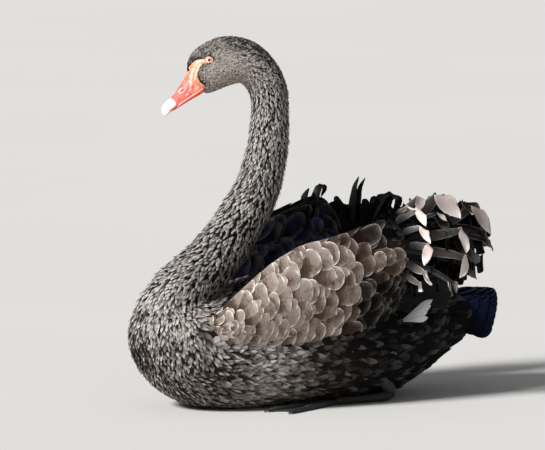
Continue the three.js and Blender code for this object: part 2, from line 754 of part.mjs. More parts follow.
function nostrilShell(side) {
  const shape = new THREE.SphereGeometry(1, 8, 6);
  const forward = inHeadPlane(1, 0, NOSTRIL.height).sub(inHeadPlane(0, 0, NOSTRIL.height));
  const tilt = radians(NOSTRIL.tilt);
  const along = forward.clone().multiplyScalar(Math.cos(tilt)).add(vec(0, 0, Math.sin(tilt)));
  const left = inHeadPlane(0, 1, NOSTRIL.height).sub(inHeadPlane(0, 0, NOSTRIL.height));
  const across = along.clone().cross(left);
  const matrix = new THREE.Matrix4().makeBasis(
    along.multiplyScalar(NOSTRIL.half[0]), across.multiplyScalar(NOSTRIL.half[1]),
    left.multiplyScalar(NOSTRIL.depth));
  matrix.setPosition(inHeadPlane(NOSTRIL.forward, side * 12.6, NOSTRIL.height));
  return shellOf(shape, matrix);
}

// Rows of the neck and head where one node ends and the next starts.
const STUMP_END = 2;
const LOWER_END = 5;
const MIDDLE_END = 8;
const UPPER_END = NECK_AXIS.length + 0.5;
const HEAD_END = NECK_AXIS.length + HEAD.length - 1;

const FEATHER = { color: 0x17151a, roughness: 0.75, metalness: 0 };
const LOOKS = {
  feather: FEATHER,
  wing: { color: 0x2a2624, roughness: 0.7, metalness: 0 },
  white: { color: 0xe6e4df, roughness: 0.7, metalness: 0 },
  bill: { color: 0xc22a1c, roughness: 0.4, metalness: 0 },
  nail: { color: 0xeee9e2, roughness: 0.4, metalness: 0 },
  eye: { color: 0xb8140f, roughness: 0.1, metalness: 0 },
  leg: { color: 0x1d1b1b, roughness: 0.6, metalness: 0 },
};

const swan = new THREE.Group();

function addNode(name, made, look) {
  const mesh = largest(made).getMesh();
  const geometry = new THREE.BufferGeometry();
  geometry.setAttribute("position", new THREE.BufferAttribute(new Float32Array(mesh.vertProperties), 3));
  geometry.setIndex(new THREE.BufferAttribute(new Uint32Array(mesh.triVerts), 1));
  const node = new THREE.Mesh(geometry, new THREE.MeshStandardMaterial(LOOKS[look]));
  node.name = name;
  swan.add(node);
}

const SIDES = [["left", (shell) => shell], ["right", mirrored]];

// Neck in three lengths, and the head.
const lowerNeck = neckShell(STUMP_END, LOWER_END, 2);
addNode("neck_lower", solid(lowerNeck), "feather");
addNode("neck_middle", solid(neckShell(LOWER_END, MIDDLE_END, 2)), "feather");
addNode("neck_upper", solid(neckShell(MIDDLE_END, UPPER_END, 2)), "feather");

function headSolid() {
  let made = solid(neckShell(UPPER_END, HEAD_END, 2));
  for (const side of [1, -1]) {
    const { centre, skin, outward } = eyePlace(side);
    made = made.add(solid(lidShell(skin, outward))).subtract(solid(ball(centre, EYE.radius + GAP)));
  }
  return made;
}

// Centre of an eye, the place on the skin above it, and the way it looks.
function eyePlace(side) {
  const outward = inHeadPlane(0, side, EYE.height).sub(inHeadPlane(0, 0, EYE.height)).normalize();
  const reach = eyeSide();
  return {
    centre: inHeadPlane(EYE.forward, side * (reach + EYE.proud - EYE.radius), EYE.height),
    skin: inHeadPlane(EYE.forward, side * reach, EYE.height),
    outward,
  };
}

addNode("head", headSolid(), "feather");
SIDES.forEach(([name], i) => {
  addNode(`eye_${name}`, solid(ball(eyePlace(i ? -1 : 1).centre, EYE.radius)), "eye");
});

// Bill: red upper half, its pale nail, and the lower half.
const nailRows = UPPER_BILL.slice(NAIL_ROW).map((row, i) => (i ? row : shifted(row, GAP)));

function shifted([topA, topZ, edgeA, edgeZ, half], by) {
  const [upA, upZ] = [topA - edgeA, topZ - edgeZ];
  const length = Math.hypot(upA, upZ);
  const [onA, onZ] = [(upZ / length) * by, (-upA / length) * by];
  return [topA + onA, topZ + onZ, edgeA + onA, edgeZ + onZ, half];
}

const upperBill = [1, -1].reduce(
  (made, side) => made.subtract(solid(nostrilShell(side))),
  solid(billShell([shifted(UPPER_BILL[0], GAP), ...UPPER_BILL.slice(1, NAIL_ROW + 1)], 0.35)));
addNode("bill_upper", upperBill, "bill");
addNode("bill_nail", solid(billShell(nailRows, 0.35)), "nail");
const lowerRows = [shifted(LOWER_BILL[0], GAP), ...LOWER_BILL.slice(1)];
addNode("bill_lower", solid(billShell(lowerRows, 0.8)), "bill");

const solids = (shells, by = 0) => joined(shells.map((shell) => solid(shell, by)));

// Tail with its base, and the rump in front of it.
const tailBase = bodyShell(RUMP, TAIL_BASE_X + GAP, RUMP.at(-1)[0], TORSO_STEP);
addNode("tail", solids([tailBase, ...rectrixShells()]), "feather");
addNode("rump", solid(bodyShell(RUMP, RUMP[0][0] + GAP, TAIL_BASE_X, TORSO_STEP)), "feather");

// Wings on both sides, with their coverts and curled feathers.
const wingRoom = [];
for (const [name, turned] of SIDES) {
  const lift = RIDGE_LIFT[name];
  const curls = [...curlShells(lift, RUFF_TURN[name]), ...hookShells(lift)];
  const feathered = [wingShell(lift), ...covertShells(lift), ...curls];
  const primaries = primariesShells();
  addNode(`wing_${name}`, solids(feathered.map(turned)), "wing");
  const clear = solid(turned(wingShell(lift)), GAP);
  addNode(`wing_${name}_primaries`, solids(primaries.map(turned)).subtract(clear), "white");
  wingRoom.push(clear, solid(turned(primaries.at(-1)), GAP));
}

// Feet and legs under the flanks.
const legs = [];
for (const [name, turned] of SIDES) {
  const foot = joined(footShells().map((shell) => solid(turned(shell)))).intersect(aboveGround());
  const leg = solid(turned(legShell()));
  const footRoom = joined(footShells().map((shell) => solid(turned(shell), GAP)));
  addNode(`foot_${name}`, foot, "leg");
  addNode(`leg_${name}`, leg.subtract(footRoom), "leg");
  legs.push(footRoom, solid(turned(legShell()), GAP));
}

// Torso, cut clear of what grows from it and flat where it rests.
const stump = neckShell(0, STUMP_END, 2);
const torso = solid(bodyShell(TORSO, TORSO[0][0], TORSO.at(-1)[0], TORSO_STEP)).add(solid(stump));
const room = joined([solid(lowerNeck, GAP), ...legs, ...wingRoom]);
addNode("torso", torso.intersect(aboveGround()).subtract(room), "feather");

export default swan;
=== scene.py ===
"""Black swan, a life-size still model: skin, feathers, bill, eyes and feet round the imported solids.

It sits on its belly, faces -X with its left side at -Y, and the floor is z = 0. Tables are in
millimetres and all else is in metres.
"""

import math

import bmesh
import bpy
import numpy as np
from bpy.props import FloatProperty, FloatVectorProperty, IntProperty, PointerProperty
from mathutils import Matrix, Vector
from mathutils.bvhtree import BVHTree
from mathutils.kdtree import KDTree


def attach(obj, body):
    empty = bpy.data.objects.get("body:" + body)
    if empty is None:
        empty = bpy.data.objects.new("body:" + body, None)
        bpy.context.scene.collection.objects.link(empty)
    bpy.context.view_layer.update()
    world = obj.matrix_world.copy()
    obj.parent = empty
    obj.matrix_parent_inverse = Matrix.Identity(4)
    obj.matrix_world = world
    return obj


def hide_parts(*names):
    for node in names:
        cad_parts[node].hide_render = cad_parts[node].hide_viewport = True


bl_info = {
    "name": "Black swan",
    "version": (1, 0, 0),
    "blender": (4, 5, 0),
    "location": "View3D > Sidebar > Swan",
    "description": "Models a life-size black swan round its packed solids",
    "category": "Object",
}

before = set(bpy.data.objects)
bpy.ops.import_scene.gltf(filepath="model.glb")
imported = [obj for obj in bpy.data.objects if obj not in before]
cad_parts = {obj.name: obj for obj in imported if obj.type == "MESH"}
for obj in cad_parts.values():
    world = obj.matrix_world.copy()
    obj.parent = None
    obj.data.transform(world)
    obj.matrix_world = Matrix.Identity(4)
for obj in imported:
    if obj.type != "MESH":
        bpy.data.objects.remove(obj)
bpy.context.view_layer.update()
MM = 0.001
SIDES = {"left": -1, "right": 1}
# Thickness of a vane in the coat, on the wing and in the air.
COAT_VANE, WING_VANE, FREE_VANE = 0.25 * MM, 0.3 * MM, 0.35 * MM
# Faces of feathers that meet at more than this angle keep a hard edge.
VANE_EDGE = 60
# How far above the floor the skin, the feathers and the limbs stay.
SKIN_FLOOR, FEATHER_FLOOR, LIMB_FLOOR = 0.5 * MM, 0.4 * MM, 0.3 * MM

# Body from breast to tail base: x, half width, underside, height of the greatest width, back.
BODY = [
    (-263, 15, 88, 108, 126), (-257, 32, 73, 106, 139), (-247, 47, 57, 103, 149),
    (-232, 62, 38, 100, 155), (-210, 78, 20, 97, 157), (-180, 92, 6, 95, 157),
    (-140, 104, -3, 95, 160), (-95, 113, -5, 96, 171), (-45, 118, -5, 96, 182),
    (5, 119, -5, 97, 187), (55, 116, -5, 98, 184), (105, 108, -2, 99, 172),
    (150, 95, 12, 101, 157), (185, 80, 30, 102, 146), (202, 71, 41, 103, 142),
    (222, 61, 53, 104, 141), (242, 50, 65, 105, 139), (258, 38, 76, 106, 134),
    (270, 20, 90, 108, 123),
]
BODY_SQUARENESS = 2.25
BODY_ENDS = (BODY[0][0] * MM, BODY[-1][0] * MM)

# Neck axis below the head: distance forward of the pivot, height, radius.
PIVOT_X = -57 * MM
NECK_AXIS = [
    (150, 112, 58), (146, 138.5, 52), (131, 165.5, 44.8), (108, 186, 41),
    (82, 208.7, 38.6), (51.8, 243, 36.2), (26.2, 279, 34.3), (9.6, 306.3, 32.8),
    (0.1, 337, 31.4), (-7, 366, 29.5), (-9.2, 396.5, 28.1), (-9.6, 418, 26.8),
]
NECK_WIDTH_SHARE = 0.95

# Head from nape to bill: crown point, throat point (forward, height), half width, narrowing.
HEAD = [
    (-35.5, 442, 17.5, 430.7, 25.2, 0), (-29.5, 463.6, 22, 444.4, 25, 0.02),
    (-19.8, 481.6, 29, 453, 25, 0.04), (-6, 499.6, 34, 457.2, 25.2, 0.06),
    (10.7, 513.2, 38.5, 457, 25.4, 0.1), (30, 521.2, 44, 455.4, 25.6, 0.14),
    (51, 524.2, 50.5, 453.6, 25.4, 0.17), (67.6, 522.6, 57.5, 451.2, 24.6, 0.18),
    (81.5, 516.6, 64.5, 448.4, 23, 0.17), (95.5, 509, 71, 446, 20.6, 0.15),
    (105.2, 498.8, 76, 444.3, 18.2, 0.12), (109.8, 487.9, 81, 443, 16.3, 0.08),
    (111.8, 476.5, 86, 442.8, 15, 0.05),
]
HEAD_TURN = math.radians(16)
TURN_FROM_Z = 330 * MM
TURN_TO_Z = 470 * MM
HEAD_FROM_Z = 430 * MM
HEAD_ROW = len(NECK_AXIS)
LAST_ROW = len(NECK_AXIS) + len(HEAD) - 1

# Bill: culmen point, edge point (forward, height), half width. The first row is hidden in the head,
# the nail starts at NAIL_ROW, and below NAIL_BORDER (forward, height) the red sheath shows on it.
UPPER_BILL = [
    (103, 480, 86.6, 455.2, 12.6), (109.2, 476.4, 89.6, 453, 14.2), (114, 465, 98.6, 447.2, 14.1),
    (120.9, 455, 108.4, 441.2, 13.6), (128, 444.9, 118.4, 435.2, 13.3),
    (133.9, 438.8, 126.4, 430, 12.8), (139.4, 435.2, 131, 426.4, 11.8),
    (144.4, 431.2, 135.6, 422.8, 10.2), (148.2, 426, 140.6, 419.2, 8),
    (149.4, 419.8, 144.2, 415.8, 4.8), (147.2, 415.2, 145.6, 413.8, 1.6),
]
NAIL_ROW = 5
NAIL_BORDER = [(124, 435.5), (128.8, 433.2), (134.3, 427.8), (138, 424.2), (141.6, 420.4),
               (145, 415.5), (150, 405)]
LOWER_BILL = [
    (90.4, 456, 87, 446.4, 14.4), (98.8, 450.8, 94.8, 441.5, 14.3), (107.8, 445, 104.4, 437, 13.8),
    (117.2, 439.2, 114.2, 432, 13.5), (125.6, 433.4, 123.4, 427.1, 12.9),
    (132.8, 427.6, 131.2, 423, 10.8), (140.2, 421, 139.2, 419.4, 4.6),
]
# Half length and half width of the nostril's slit and of the ring on which its pale rim lies.
NOSTRIL = {"forward": 119.9, "height": 450.2, "half": (3.4, 0.95), "rim": (5.6, 2.4), "depth": 1.4,
           "tilt": -36}
# The eye's middle and radius, how far it stands proud, how much of that is cornea, how far round it
# the skin is bare, half length and half height of the lid's ring, and half its thickness.
EYE = {"forward": 82.5, "height": 492.9, "radius": 5.6, "proud": 2.6, "cornea": 0.5, "bare": 5.4,
       "ring": (4.9, 4), "ring_thick": 0.8}

# Bare skin between eye and bill (forward, height), along its forehead side and its cheek side. The
# bill's base is bare too, in front of BROW and below it.
LORE_FRONT = [(86.5, 494), (94, 493.6), (99.6, 492), (104, 488.6), (107.8, 483.6), (110.6, 477.6),
              (110.8, 470.5), (100, 456), (90.6, 452.6)]
LORE_BACK = [(85.8, 488.6), (90.2, 486.8), (93.4, 483.6), (96, 478.6), (97.6, 473.6), (97.6, 468.4),
             (95.6, 463.2), (92.6, 459.4), (87.4, 456.4)]
BROW = (105, 481.5)
# Creases from the eye down the side of the bill, pale with a painted highlight along their ridges,
# the pale cutting edge of the upper bill, and a fainter line above the edge's rear.
CREASES = [
    [(88.4, 492), (93.4, 491), (98, 488.4), (101.8, 482.8), (104, 477.8), (105.8, 472), (106.8, 464.7),
     (107.8, 457.4), (108.9, 451.6), (112.4, 445.9), (116.8, 441)],
    [(92.6, 487.8), (96, 483.8), (98.2, 478.8), (100, 473.6), (101.2, 468), (103, 463.5)],
    [(112.8, 458.4), (113.8, 457)],
]
CUTTING_EDGE = [(89.4, 453.8), (97.4, 448.5), (104.8, 443.7), (113, 438.9), (121.8, 433.7), (130.7, 428)]
GAPE_LINE = [(92.6, 455.6), (97.6, 452.6), (103.2, 449.4)]

# Feet, flat on the ground beside the keel: |y|, the ankle's x, how far the foot is turned out, lengths
# and angles of the toes, half their thickness.
FOOT = {"y": 74, "ankle": 14, "splay": 7, "toes": [(88, 17), (112, -2), (102, -21)], "thick": 4.6}
# Toe: share of its length, and share of its thickness there, with a knuckle before each narrow place.
TOE = [(0.3, 1.02), (0.38, 0.86), (0.62, 0.92), (0.7, 0.76), (0.9, 0.78), (1, 0.6)]
# Claw: distance past the toe's end, height, radius.
CLAW = [(-3, 3, 2.4), (1, 3.4, 2.3), (4, 3, 1.9), (7, 1.8, 1.2), (9, 0.9, 0.5)]
# Leg from the ankle over the heel to where it is hidden in the body: x, distance out, height, radius.
LEG = [(19, 0, 6.2, 5.2), (36, 0, 6, 5.2), (60, 0, 6.2, 5.6), (82, 0, 6.6, 6), (99, 0, 8, 7.4),
       (107, 1, 14, 8), (98, 3, 27, 9.5), (80, 7, 42, 12)]

# Coat of neck and head by row, of the body by x, and of the wings below their own feathers: length
# and width of a feather, depth of the coat. Wavy FURROWS run down the neck, so many round it, dark
# as painted shade between ridges that carry painted sheen.
NECK_COAT = [(0, 12, 4.2, 3), (3, 11.5, 3.7, 2.8), (6, 10.5, 3.2, 2.4), (9, 9.5, 2.7, 2.1),
             (12, 8.5, 2.3, 1.7), (15, 7, 2.1, 1.3), (19, 5.5, 2.1, 1), (24, 4, 2, 0.8)]
BODY_COAT = [(-263, 10, 4, 3), (-225, 11.5, 4.3, 3), (-180, 14, 4.9, 3), (-100, 18, 6.6, 3.2),
             (0, 24, 9.4, 3.4), (110, 29, 12, 3.4), (190, 29, 13, 3.4), (245, 29, 14, 3.2),
             (270, 25, 13, 3)]
WING_COAT = (22, 16, 2.6)
FURROWS = 26
HEAD_REGION, NECK_REGION, BODY_REGION, WING_REGION = range(4)
# The coat's neck changes pieces at this height, and its breast and flanks at this x. There are no
# feathers below the last height, where the belly rests on the floor.
NECK_SPLIT = 290 * MM
BODY_SPLIT = -100 * MM
BELLY_REST = 2 * MM

# Rectangles of the skin's unwrap: left, bottom, width, height. Each feather lies on a square of
# BAKE_PATCH at its root's place there.
NECK_PATCH = (0.01, 0.01, 0.6, 0.3)
BODY_PATCH = (0.01, 0.33, 0.6, 0.65)
WING_PATCH = {"left": (0.63, 0.01, 0.36, 0.48), "right": (0.63, 0.51, 0.36, 0.48)}
BAKE_PATCH = 0.003

# Vanes of the coat: shares of the length, the widths there, how far up the coat's depth they are,
# how many places they have across, and camber. yaw and roll are how unevenly they lie, in degrees.
SMALL_VANE = {"shares": (0, 0.4, 0.78, 1), "widths": (0.5, 1, 0.85, 0.25), "columns": 3,
              "lifts": (-0.2, 0.35, 0.8, 0.9), "camber": 0.3, "yaw": 7, "roll": 9}
WISP_VANE = {"shares": (0, 0.3, 0.6, 0.84, 1), "widths": (0.5, 1, 0.9, 0.6, 0.12), "columns": 3,
             "lifts": (-0.25, 0.25, 0.65, 0.9, 1.0), "camber": 0.25, "yaw": 11, "roll": 10}
# Shares of larger vanes' lengths and their widths there.
SPIKE = ([0, 0.25, 0.45, 0.6, 0.7, 0.77, 0.83, 0.88, 0.93, 0.97, 1],
         [1, 0.95, 0.85, 0.72, 0.62, 0.54, 0.46, 0.38, 0.27, 0.16, 0.04])
DART = ([0, 0.2, 0.4, 0.6, 0.75, 0.86, 0.93, 1], [0.1, 0.3, 0.6, 0.9, 1, 0.8, 0.5, 0.06])
BLADE = ([0, 0.2, 0.4, 0.6, 0.75, 0.86, 0.93, 0.975, 1],
         [0.4, 0.7, 0.9, 1, 0.97, 0.83, 0.62, 0.37, 0.1])

# Wing from shoulder to rear edge: x, lower edge, ridge, |y| at lower edge, middle, ridge, depth.
WING = [
    (-196, 112, 122, 66, 72, 68, 5), (-182, 106, 138, 80, 86, 77, 10),
    (-160, 103, 158, 95, 103, 84, 16), (-130, 103, 184, 107, 117, 90, 22),
    (-92, 104, 213, 115, 126, 95, 25), (-50, 107, 234, 119, 131, 98, 25),
    (-3, 111, 243, 120, 133, 100, 24), (40, 118, 254, 118, 132, 101, 23),
    (72, 128, 263, 114, 129, 101, 22), (95, 143, 262, 110, 125, 101, 19),
    (112, 162, 248, 108, 119, 103, 14), (120, 182, 231, 109, 114, 105, 9),
]
WING_ENDS = (WING[0][0] * MM, WING[-1][0] * MM)
# How much of RIDGE_LIFT each x has: the far wing is raised a little higher.
RIDGE_RISE = [(-80, 0), (15, 1), (85, 1), (120, 0)]
RIDGE_LIFT = {"left": 0, "right": 10 * MM}
# Feathers near the ridge of a wing bend over it from this share of its height on.
RIDGE_SOFT = 0.93

# Coverts by x: how far apart the rows stand along the wing and up it, length and width of a feather.
COVERTS = [(-194, 5, 7, 14, 9), (-165, 7, 11, 21, 15), (-130, 7.5, 17, 29, 25), (-90, 9, 22, 36, 32),
           (-45, 13, 21, 42, 32), (0, 17, 21, 46, 32), (40, 16, 17, 40, 26), (75, 13, 15, 33, 22),
           (100, 12, 14, 29, 20)]
COVERT_ENDS = (-192 * MM, 87 * MM)

# Curled feathers of the ruff, which fans out from one point of the wing (x, z), with its roots
# RUFF_ROOT from there. Each feather: the fold (x, z), |y|, angle of the blade there, length and
# angle of the leaf that is folded over, width, how light the blade is and how pale the leaf. Both
# are painted light: the near blades are light and those behind dark as painted shade, and a pale
# leaf is painted as if sunlit.
RUFF_CENTRE = (50, 228)
RUFF_ROOT = 52
RUFF_TURN = {"left": 0, "right": math.radians(9)}
RUFF = [
    (106, 286, 134, 40, 6, -50, 9, 0.85, 0.8), (119, 281, 139, 27, 24, -62, 15, 0.85, 1),
    (122, 256, 140, 21, 24, -75, 12, 0.8, 1), (135, 229, 141, 13, 28, -102, 15, 0.75, 1),
    (129, 188, 140, -32, 12, -97, 15, 0.7, 0.85), (122, 173, 138, -27, 9, -128, 12, 0.6, 0.8),
    (125, 298, 124, 53, 20, -96, 15, 0.45, 0.5), (156, 298, 123, 54, 41, -68, 28, 0.25, 0.55),
    (154, 273, 126, 23, 14, -55, 10, 0.1, 0.75), (193, 245, 126, 10, 30, -95, 19, 0.4, 1),
    (199, 205, 126, -17, 33, -130, 18, 0.4, 1), (176, 170, 119, -42, 13, -100, 8, 0.1, 0.9),
    (177, 295, 116, 53, 25, -74, 14, 0.05, 0.4), (215, 277, 116, 37, 42, -66, 22, 0.05, 0.4),
    (243, 224, 112, -23, 9, -112, 11, 0, 0.4), (160, 262, 112, 22, 22, -80, 20, 0, 0),
    (236, 236, 110, -20, 18, -90, 22, 0, 0), (222, 190, 104, -30, 12, -130, 24, 0, 0),
    (158, 294, 106, 58, 22, -50, 22, 0, 0), (205, 282, 106, 44, 26, -60, 24, 0, 0),
    (214, 214, 108, -8, 14, -70, 26, 0, 0), (172, 172, 122, -38, 9, -112, 6, 0.2, 1),
    (184, 169, 121, -35, 8, -100, 8, 0.1, 0.7),
]
# How much of the slant that brings a leaf to its angle the fold has, here and in the black feathers,
# and how far the leaves are rolled over, in degrees.
RUFF_BEND, RUFF_BACK_BEND = 0.82, 0.35
FOLD_TURN = 157
# Black feathers behind them: share of the outline at which they fold, |y|, width, leaf, angles. The
# outline gives how far the ruff reaches at each angle above the level.
RUFF_OUTLINE = [(-45, 100), (-33, 122), (-25, 142), (-20, 174), (-12, 186), (-4, 196), (3, 200), (10, 195),
                (18, 166), (27, 130), (36, 92), (48, 68), (64, 54)]
RUFF_BACK = [
    (0.97, 88, 34, 5, [-22, -16, -10, -4, 2, 8, 14, 20, 26]),
    (0.92, 93, 36, 7, [-25, -19, -13, -7, -1, 5, 11, 17, 23, 29]),
    (0.86, 98, 34, 9, [-34, -28, -22, -15, -8, -1, 6, 13, 20, 27, 34, 43]),
    (0.76, 104, 32, 10, [-37, -31, -24, -17, -10, -3, 4, 11, 18, 25, 32, 39, 48]),
    (0.6, 110, 30, 10, [-38, -29, -20, -11, -2, 7, 16, 25, 34, 43]),
]
# Feathers of the far wing's ruff that would stand above its ridge are left out: the outer ones of
# the black rows from this angle on, and the curled ones whose fold is at this height or above.
FAR_ANGLE = 21
FAR_SHARE = 0.8
FAR_HEIGHT = 277

# Feathers that stand up from the ridge of the far wing and curl to the rear: x, z at the top, width,
# lean of the blade from upright, radius and turn of the curl. All have the same |y|, length of the
# straight blade and length of the tip beyond the curl.
HOOKS = [(63, 279, 24, -2, 5, 40), (88, 292, 18, 22, 5, 200), (146, 297, 16, 8, 14, 22),
         (156, 295, 15, 14, 14, 22), (150, 276, 26, 4, 16, 20), (192, 272, 24, 36, 9, 150),
         (207, 274, 26, 46, 12, 175)]
HOOK = {"y": 100, "blade": 46, "tip": 12}

# Painted shade along the fold where the neck's base meets the wing's front edge, as the camera sees
# it: feathers near it are darkened. Places are drawn aside on it by the first of the slants for each
# |y|, and up by the others for each x and |y|.
SHOULDER_SHADE = [(-160, 100), (-131, 131), (-88, 173)]
SHADE_SLANTS = (0.53, 0.06, -0.12)
SHADE_WIDTH = 9

# Dark secondaries and white primaries behind the wing (x, |y|, z): roots and tips of the first and
# the last one.
SECONDARIES = {"count": 9, "from": [(70, 96, 205), (62, 100, 132)],
               "to": [(238, 44, 152), (168, 88, 100)], "width": 30}
PRIMARIES = {"count": 4, "from": [(106, 116, 119), (106, 113, 121)],
             "to": [(146, 117, 125), (156, 113, 146)], "width": 10}
# Tail feathers from the middle one to the outer ones: where they start and end, how far they fan
# out and droop there, and how far each lies over the next. Above them lie two rows of coverts: how
# many, how far before and above the tail feathers, share of their spread, width.
TAIL = {"root": (246, 126), "root_spread": 32, "root_droop": 26, "tip": (314, 139), "tip_spread": 52,
        "tip_droop": 52, "sweep": 30, "arch": 1.8, "width": 36, "tile": math.radians(1)}
TAIL_COVERTS = [(13, 14, 1.4, 0.94, 34), (11, 30, 2.8, 0.84, 32)]

# The picture: the photo is 545 pixels wide at 1.42 mm a pixel, seen from a little above. Its centre
# lies this far right of and above the origin. The sun stands to the left of the camera.
CAMERA_DISTANCE = 20.0
FRAME_WIDTH = 545 * 1.42 * MM
HEADING = math.radians(28)
CLIMB = math.radians(7.5)
PICTURE_CENTRE = (-37.6, 247.6)
SUN = {"right": -1.55, "back": 1.2, "up": 1.3, "strength": 5.0, "angle": 14}
SKY_STRENGTH = 0.28


# Curves, surfaces and directions

def through_rows(rows, scale=MM):
    """A smooth function of a table's first column, giving the other columns as an array."""
    table = np.array(rows, float)
    at, values = table[:, 0] * scale, table[:, 1:] * scale
    last = len(at) - 1
    before = np.maximum(np.arange(last + 1) - 1, 0)
    after = np.minimum(np.arange(last + 1) + 1, last)
    slopes = (values[after] - values[before]) / (at[after] - at[before])[:, None]

    def value(x):
        x = np.asarray(x, float)
        i = np.clip(np.searchsorted(at, x, side="right") - 1, 0, last - 1)
        span = at[i + 1] - at[i]
        t = np.clip((x - at[i]) / span, 0, 1)[..., None]
        span = span[..., None]
        return ((2 * t ** 3 - 3 * t ** 2 + 1) * values[i] + (t ** 3 - 2 * t ** 2 + t) * slopes[i] * span
                + (3 * t ** 2 - 2 * t ** 3) * values[i + 1] + (t ** 3 - t ** 2) * slopes[i + 1] * span)
    return value


def columns(values):
    """The last axis first, so that it can be unpacked."""
    return np.moveaxis(values, -1, 0)


def unit(vectors):
    return vectors / np.maximum(np.linalg.norm(vectors, axis=-1, keepdims=True), 1e-12)


def mixed(a, b, share):
    return a + (b - a) * share


def smooth(t):
    t = np.clip(t, 0, 1)
    return t * t * (3 - 2 * t)


def in_head_plane(forward, left, height):
    """A place by its distance forward of the pivot and to the left in the turned head's plane."""
    turn = HEAD_TURN * smooth((height - TURN_FROM_Z) / (TURN_TO_Z - TURN_FROM_Z))
    return np.stack([PIVOT_X - forward * np.cos(turn) - left * np.sin(turn),
                     forward * np.sin(turn) - left * np.cos(turn),
                     height + 0 * turn], -1)


def to_head_plane(places):
    """The distance forward and to the left of places, the reverse of in_head_plane."""
    x, y, z = columns(places)
    turn = HEAD_TURN * smooth((z - TURN_FROM_Z) / (TURN_TO_Z - TURN_FROM_Z))
    return (-(x - PIVOT_X) * np.cos(turn) + y * np.sin(turn),
            -(x - PIVOT_X) * np.sin(turn) - y * np.cos(turn))


def neck_and_head_rows():
    """Rows of crown point, throat point, half width and narrowing, all the way from breast to bill."""
    axis = np.array(NECK_AXIS, float)
    last = len(axis) - 1
    rows = []
    for i, (forward, height, radius) in enumerate(axis):
        along = axis[min(i + 1, last), :2] - axis[max(i - 1, 0), :2]
        along /= np.linalg.norm(along)
        back = np.array([-along[1], along[0]]) * radius
        rows.append((forward + back[0], height + back[1], forward - back[0], height - back[1],
                     radius * NECK_WIDTH_SHARE, 0))
    rows += HEAD
    return [(i, *[v * MM for v in row[:5]], row[5]) for i, row in enumerate(rows)]


body_rows = through_rows(BODY)
neck_rows = through_rows(neck_and_head_rows(), 1)
wing_rows = through_rows(WING)
rise_rows = through_rows([(x * MM, rise) for x, rise in RIDGE_RISE], 1)
covert_size = through_rows(COVERTS)
neck_coat = through_rows([(row, *[v * MM for v in rest]) for row, *rest in NECK_COAT], 1)
body_coat = through_rows(BODY_COAT)
ruff_reach = through_rows([(math.radians(angle), reach * MM) for angle, reach in RUFF_OUTLINE], 1)


def body_at(x, angle):
    """A place on the body, whose sections are rounded boxes."""
    half, low, middle, high = columns(body_rows(x))
    power = 2 / BODY_SQUARENESS
    across = np.sign(np.cos(angle)) * np.abs(np.cos(angle)) ** power
    up = np.sign(np.sin(angle)) * np.abs(np.sin(angle)) ** power
    rise = np.where(up > 0, high - middle, middle - low)
    return np.stack([x + 0 * angle, half * across, middle + rise * up], -1)


def neck_at(row, angle):
    """A place on the neck or head. Rows run from the breast to the bill."""
    crown_a, crown_z, throat_a, throat_z, half, narrow = columns(neck_rows(row))
    up = np.sin(angle)
    side = half * np.cos(angle) * (1 - narrow * up)
    return in_head_plane((crown_a + throat_a) / 2 + (crown_a - throat_a) / 2 * up, side,
                         (crown_z + throat_z) / 2 + (crown_z - throat_z) / 2 * up)


def wing_at(x, q, side):
    """A place on a wing. q runs from 0 to 1 up its outer face and on to 2 down its inner face."""
    low, ridge, y_low, y_middle, y_ridge, depth = columns(wing_rows(x))
    t = np.clip(np.where(q > 1, 2 - q, q), 0, 1)
    handle = 2 * y_middle - (y_low + y_ridge) / 2
    y = (1 - t) ** 2 * y_low + 2 * t * (1 - t) * handle + t * t * y_ridge
    inward = np.where(q > 1, depth * np.sin(np.pi * t) ** 0.35, 0)
    top = ridge + RIDGE_LIFT[side] * columns(rise_rows(x))[0]
    return np.stack([x + 0 * t, SIDES[side] * (y - inward), low + (top - low) * t], -1)


def distance_to(line, x, y):
    """Distance of points from a line of (x, y) in millimetres, and how far along it they are."""
    line = np.array(line, float) * MM
    best, along = np.full(np.shape(x), 1.0), np.zeros(np.shape(x))
    for i, (a, b) in enumerate(zip(line, line[1:])):
        d = b - a
        t = np.clip(((x - a[0]) * d[0] + (y - a[1]) * d[1]) / (d @ d), 0, 1)
        off = np.hypot(x - a[0] - d[0] * t, y - a[1] - d[1] * t)
        along = np.where(off < best, (i + t) / (len(line) - 1), along)
        best = np.minimum(best, off)
    return best, along


# Meshes

def deselect_all():
    if bpy.context.mode != "OBJECT":
        bpy.ops.object.mode_set(mode="OBJECT")
    bpy.ops.object.select_all(action="DESELECT")


def only(piece):
    deselect_all()
    piece.select_set(True)
    bpy.context.view_layer.objects.active = piece


def modified(piece, kind, **settings):
    """Adds a modifier to a piece and applies it."""
    only(piece)
    bpy.ops.object.modifier_add(type=kind)
    modifier = piece.modifiers[-1]
    for name, value in settings.items():
        setattr(modifier, name, value)
    bpy.ops.object.modifier_apply(modifier=modifier.name)
    return piece


def mesh_places(piece):
    """The places and normals of a piece's vertices."""
    places, normals = np.empty((2, len(piece.data.vertices) * 3))
    piece.data.vertices.foreach_get("co", places)
    piece.data.vertices.foreach_get("normal", normals)
    return places.reshape(-1, 3), normals.reshape(-1, 3)


def placed(piece, places):
    """Moves a piece's vertices to these places."""
    piece.data.vertices.foreach_set("co", np.asarray(places, np.float32).ravel())
    piece.data.update()
    return piece


def painted(piece, **values):
    """Gives a piece's vertices values that its material reads."""
    for name, value in values.items():
        data = piece.data.attributes.new(name, "FLOAT", "POINT").data
        data.foreach_set("value", np.asarray(value, np.float32).ravel())
    return piece


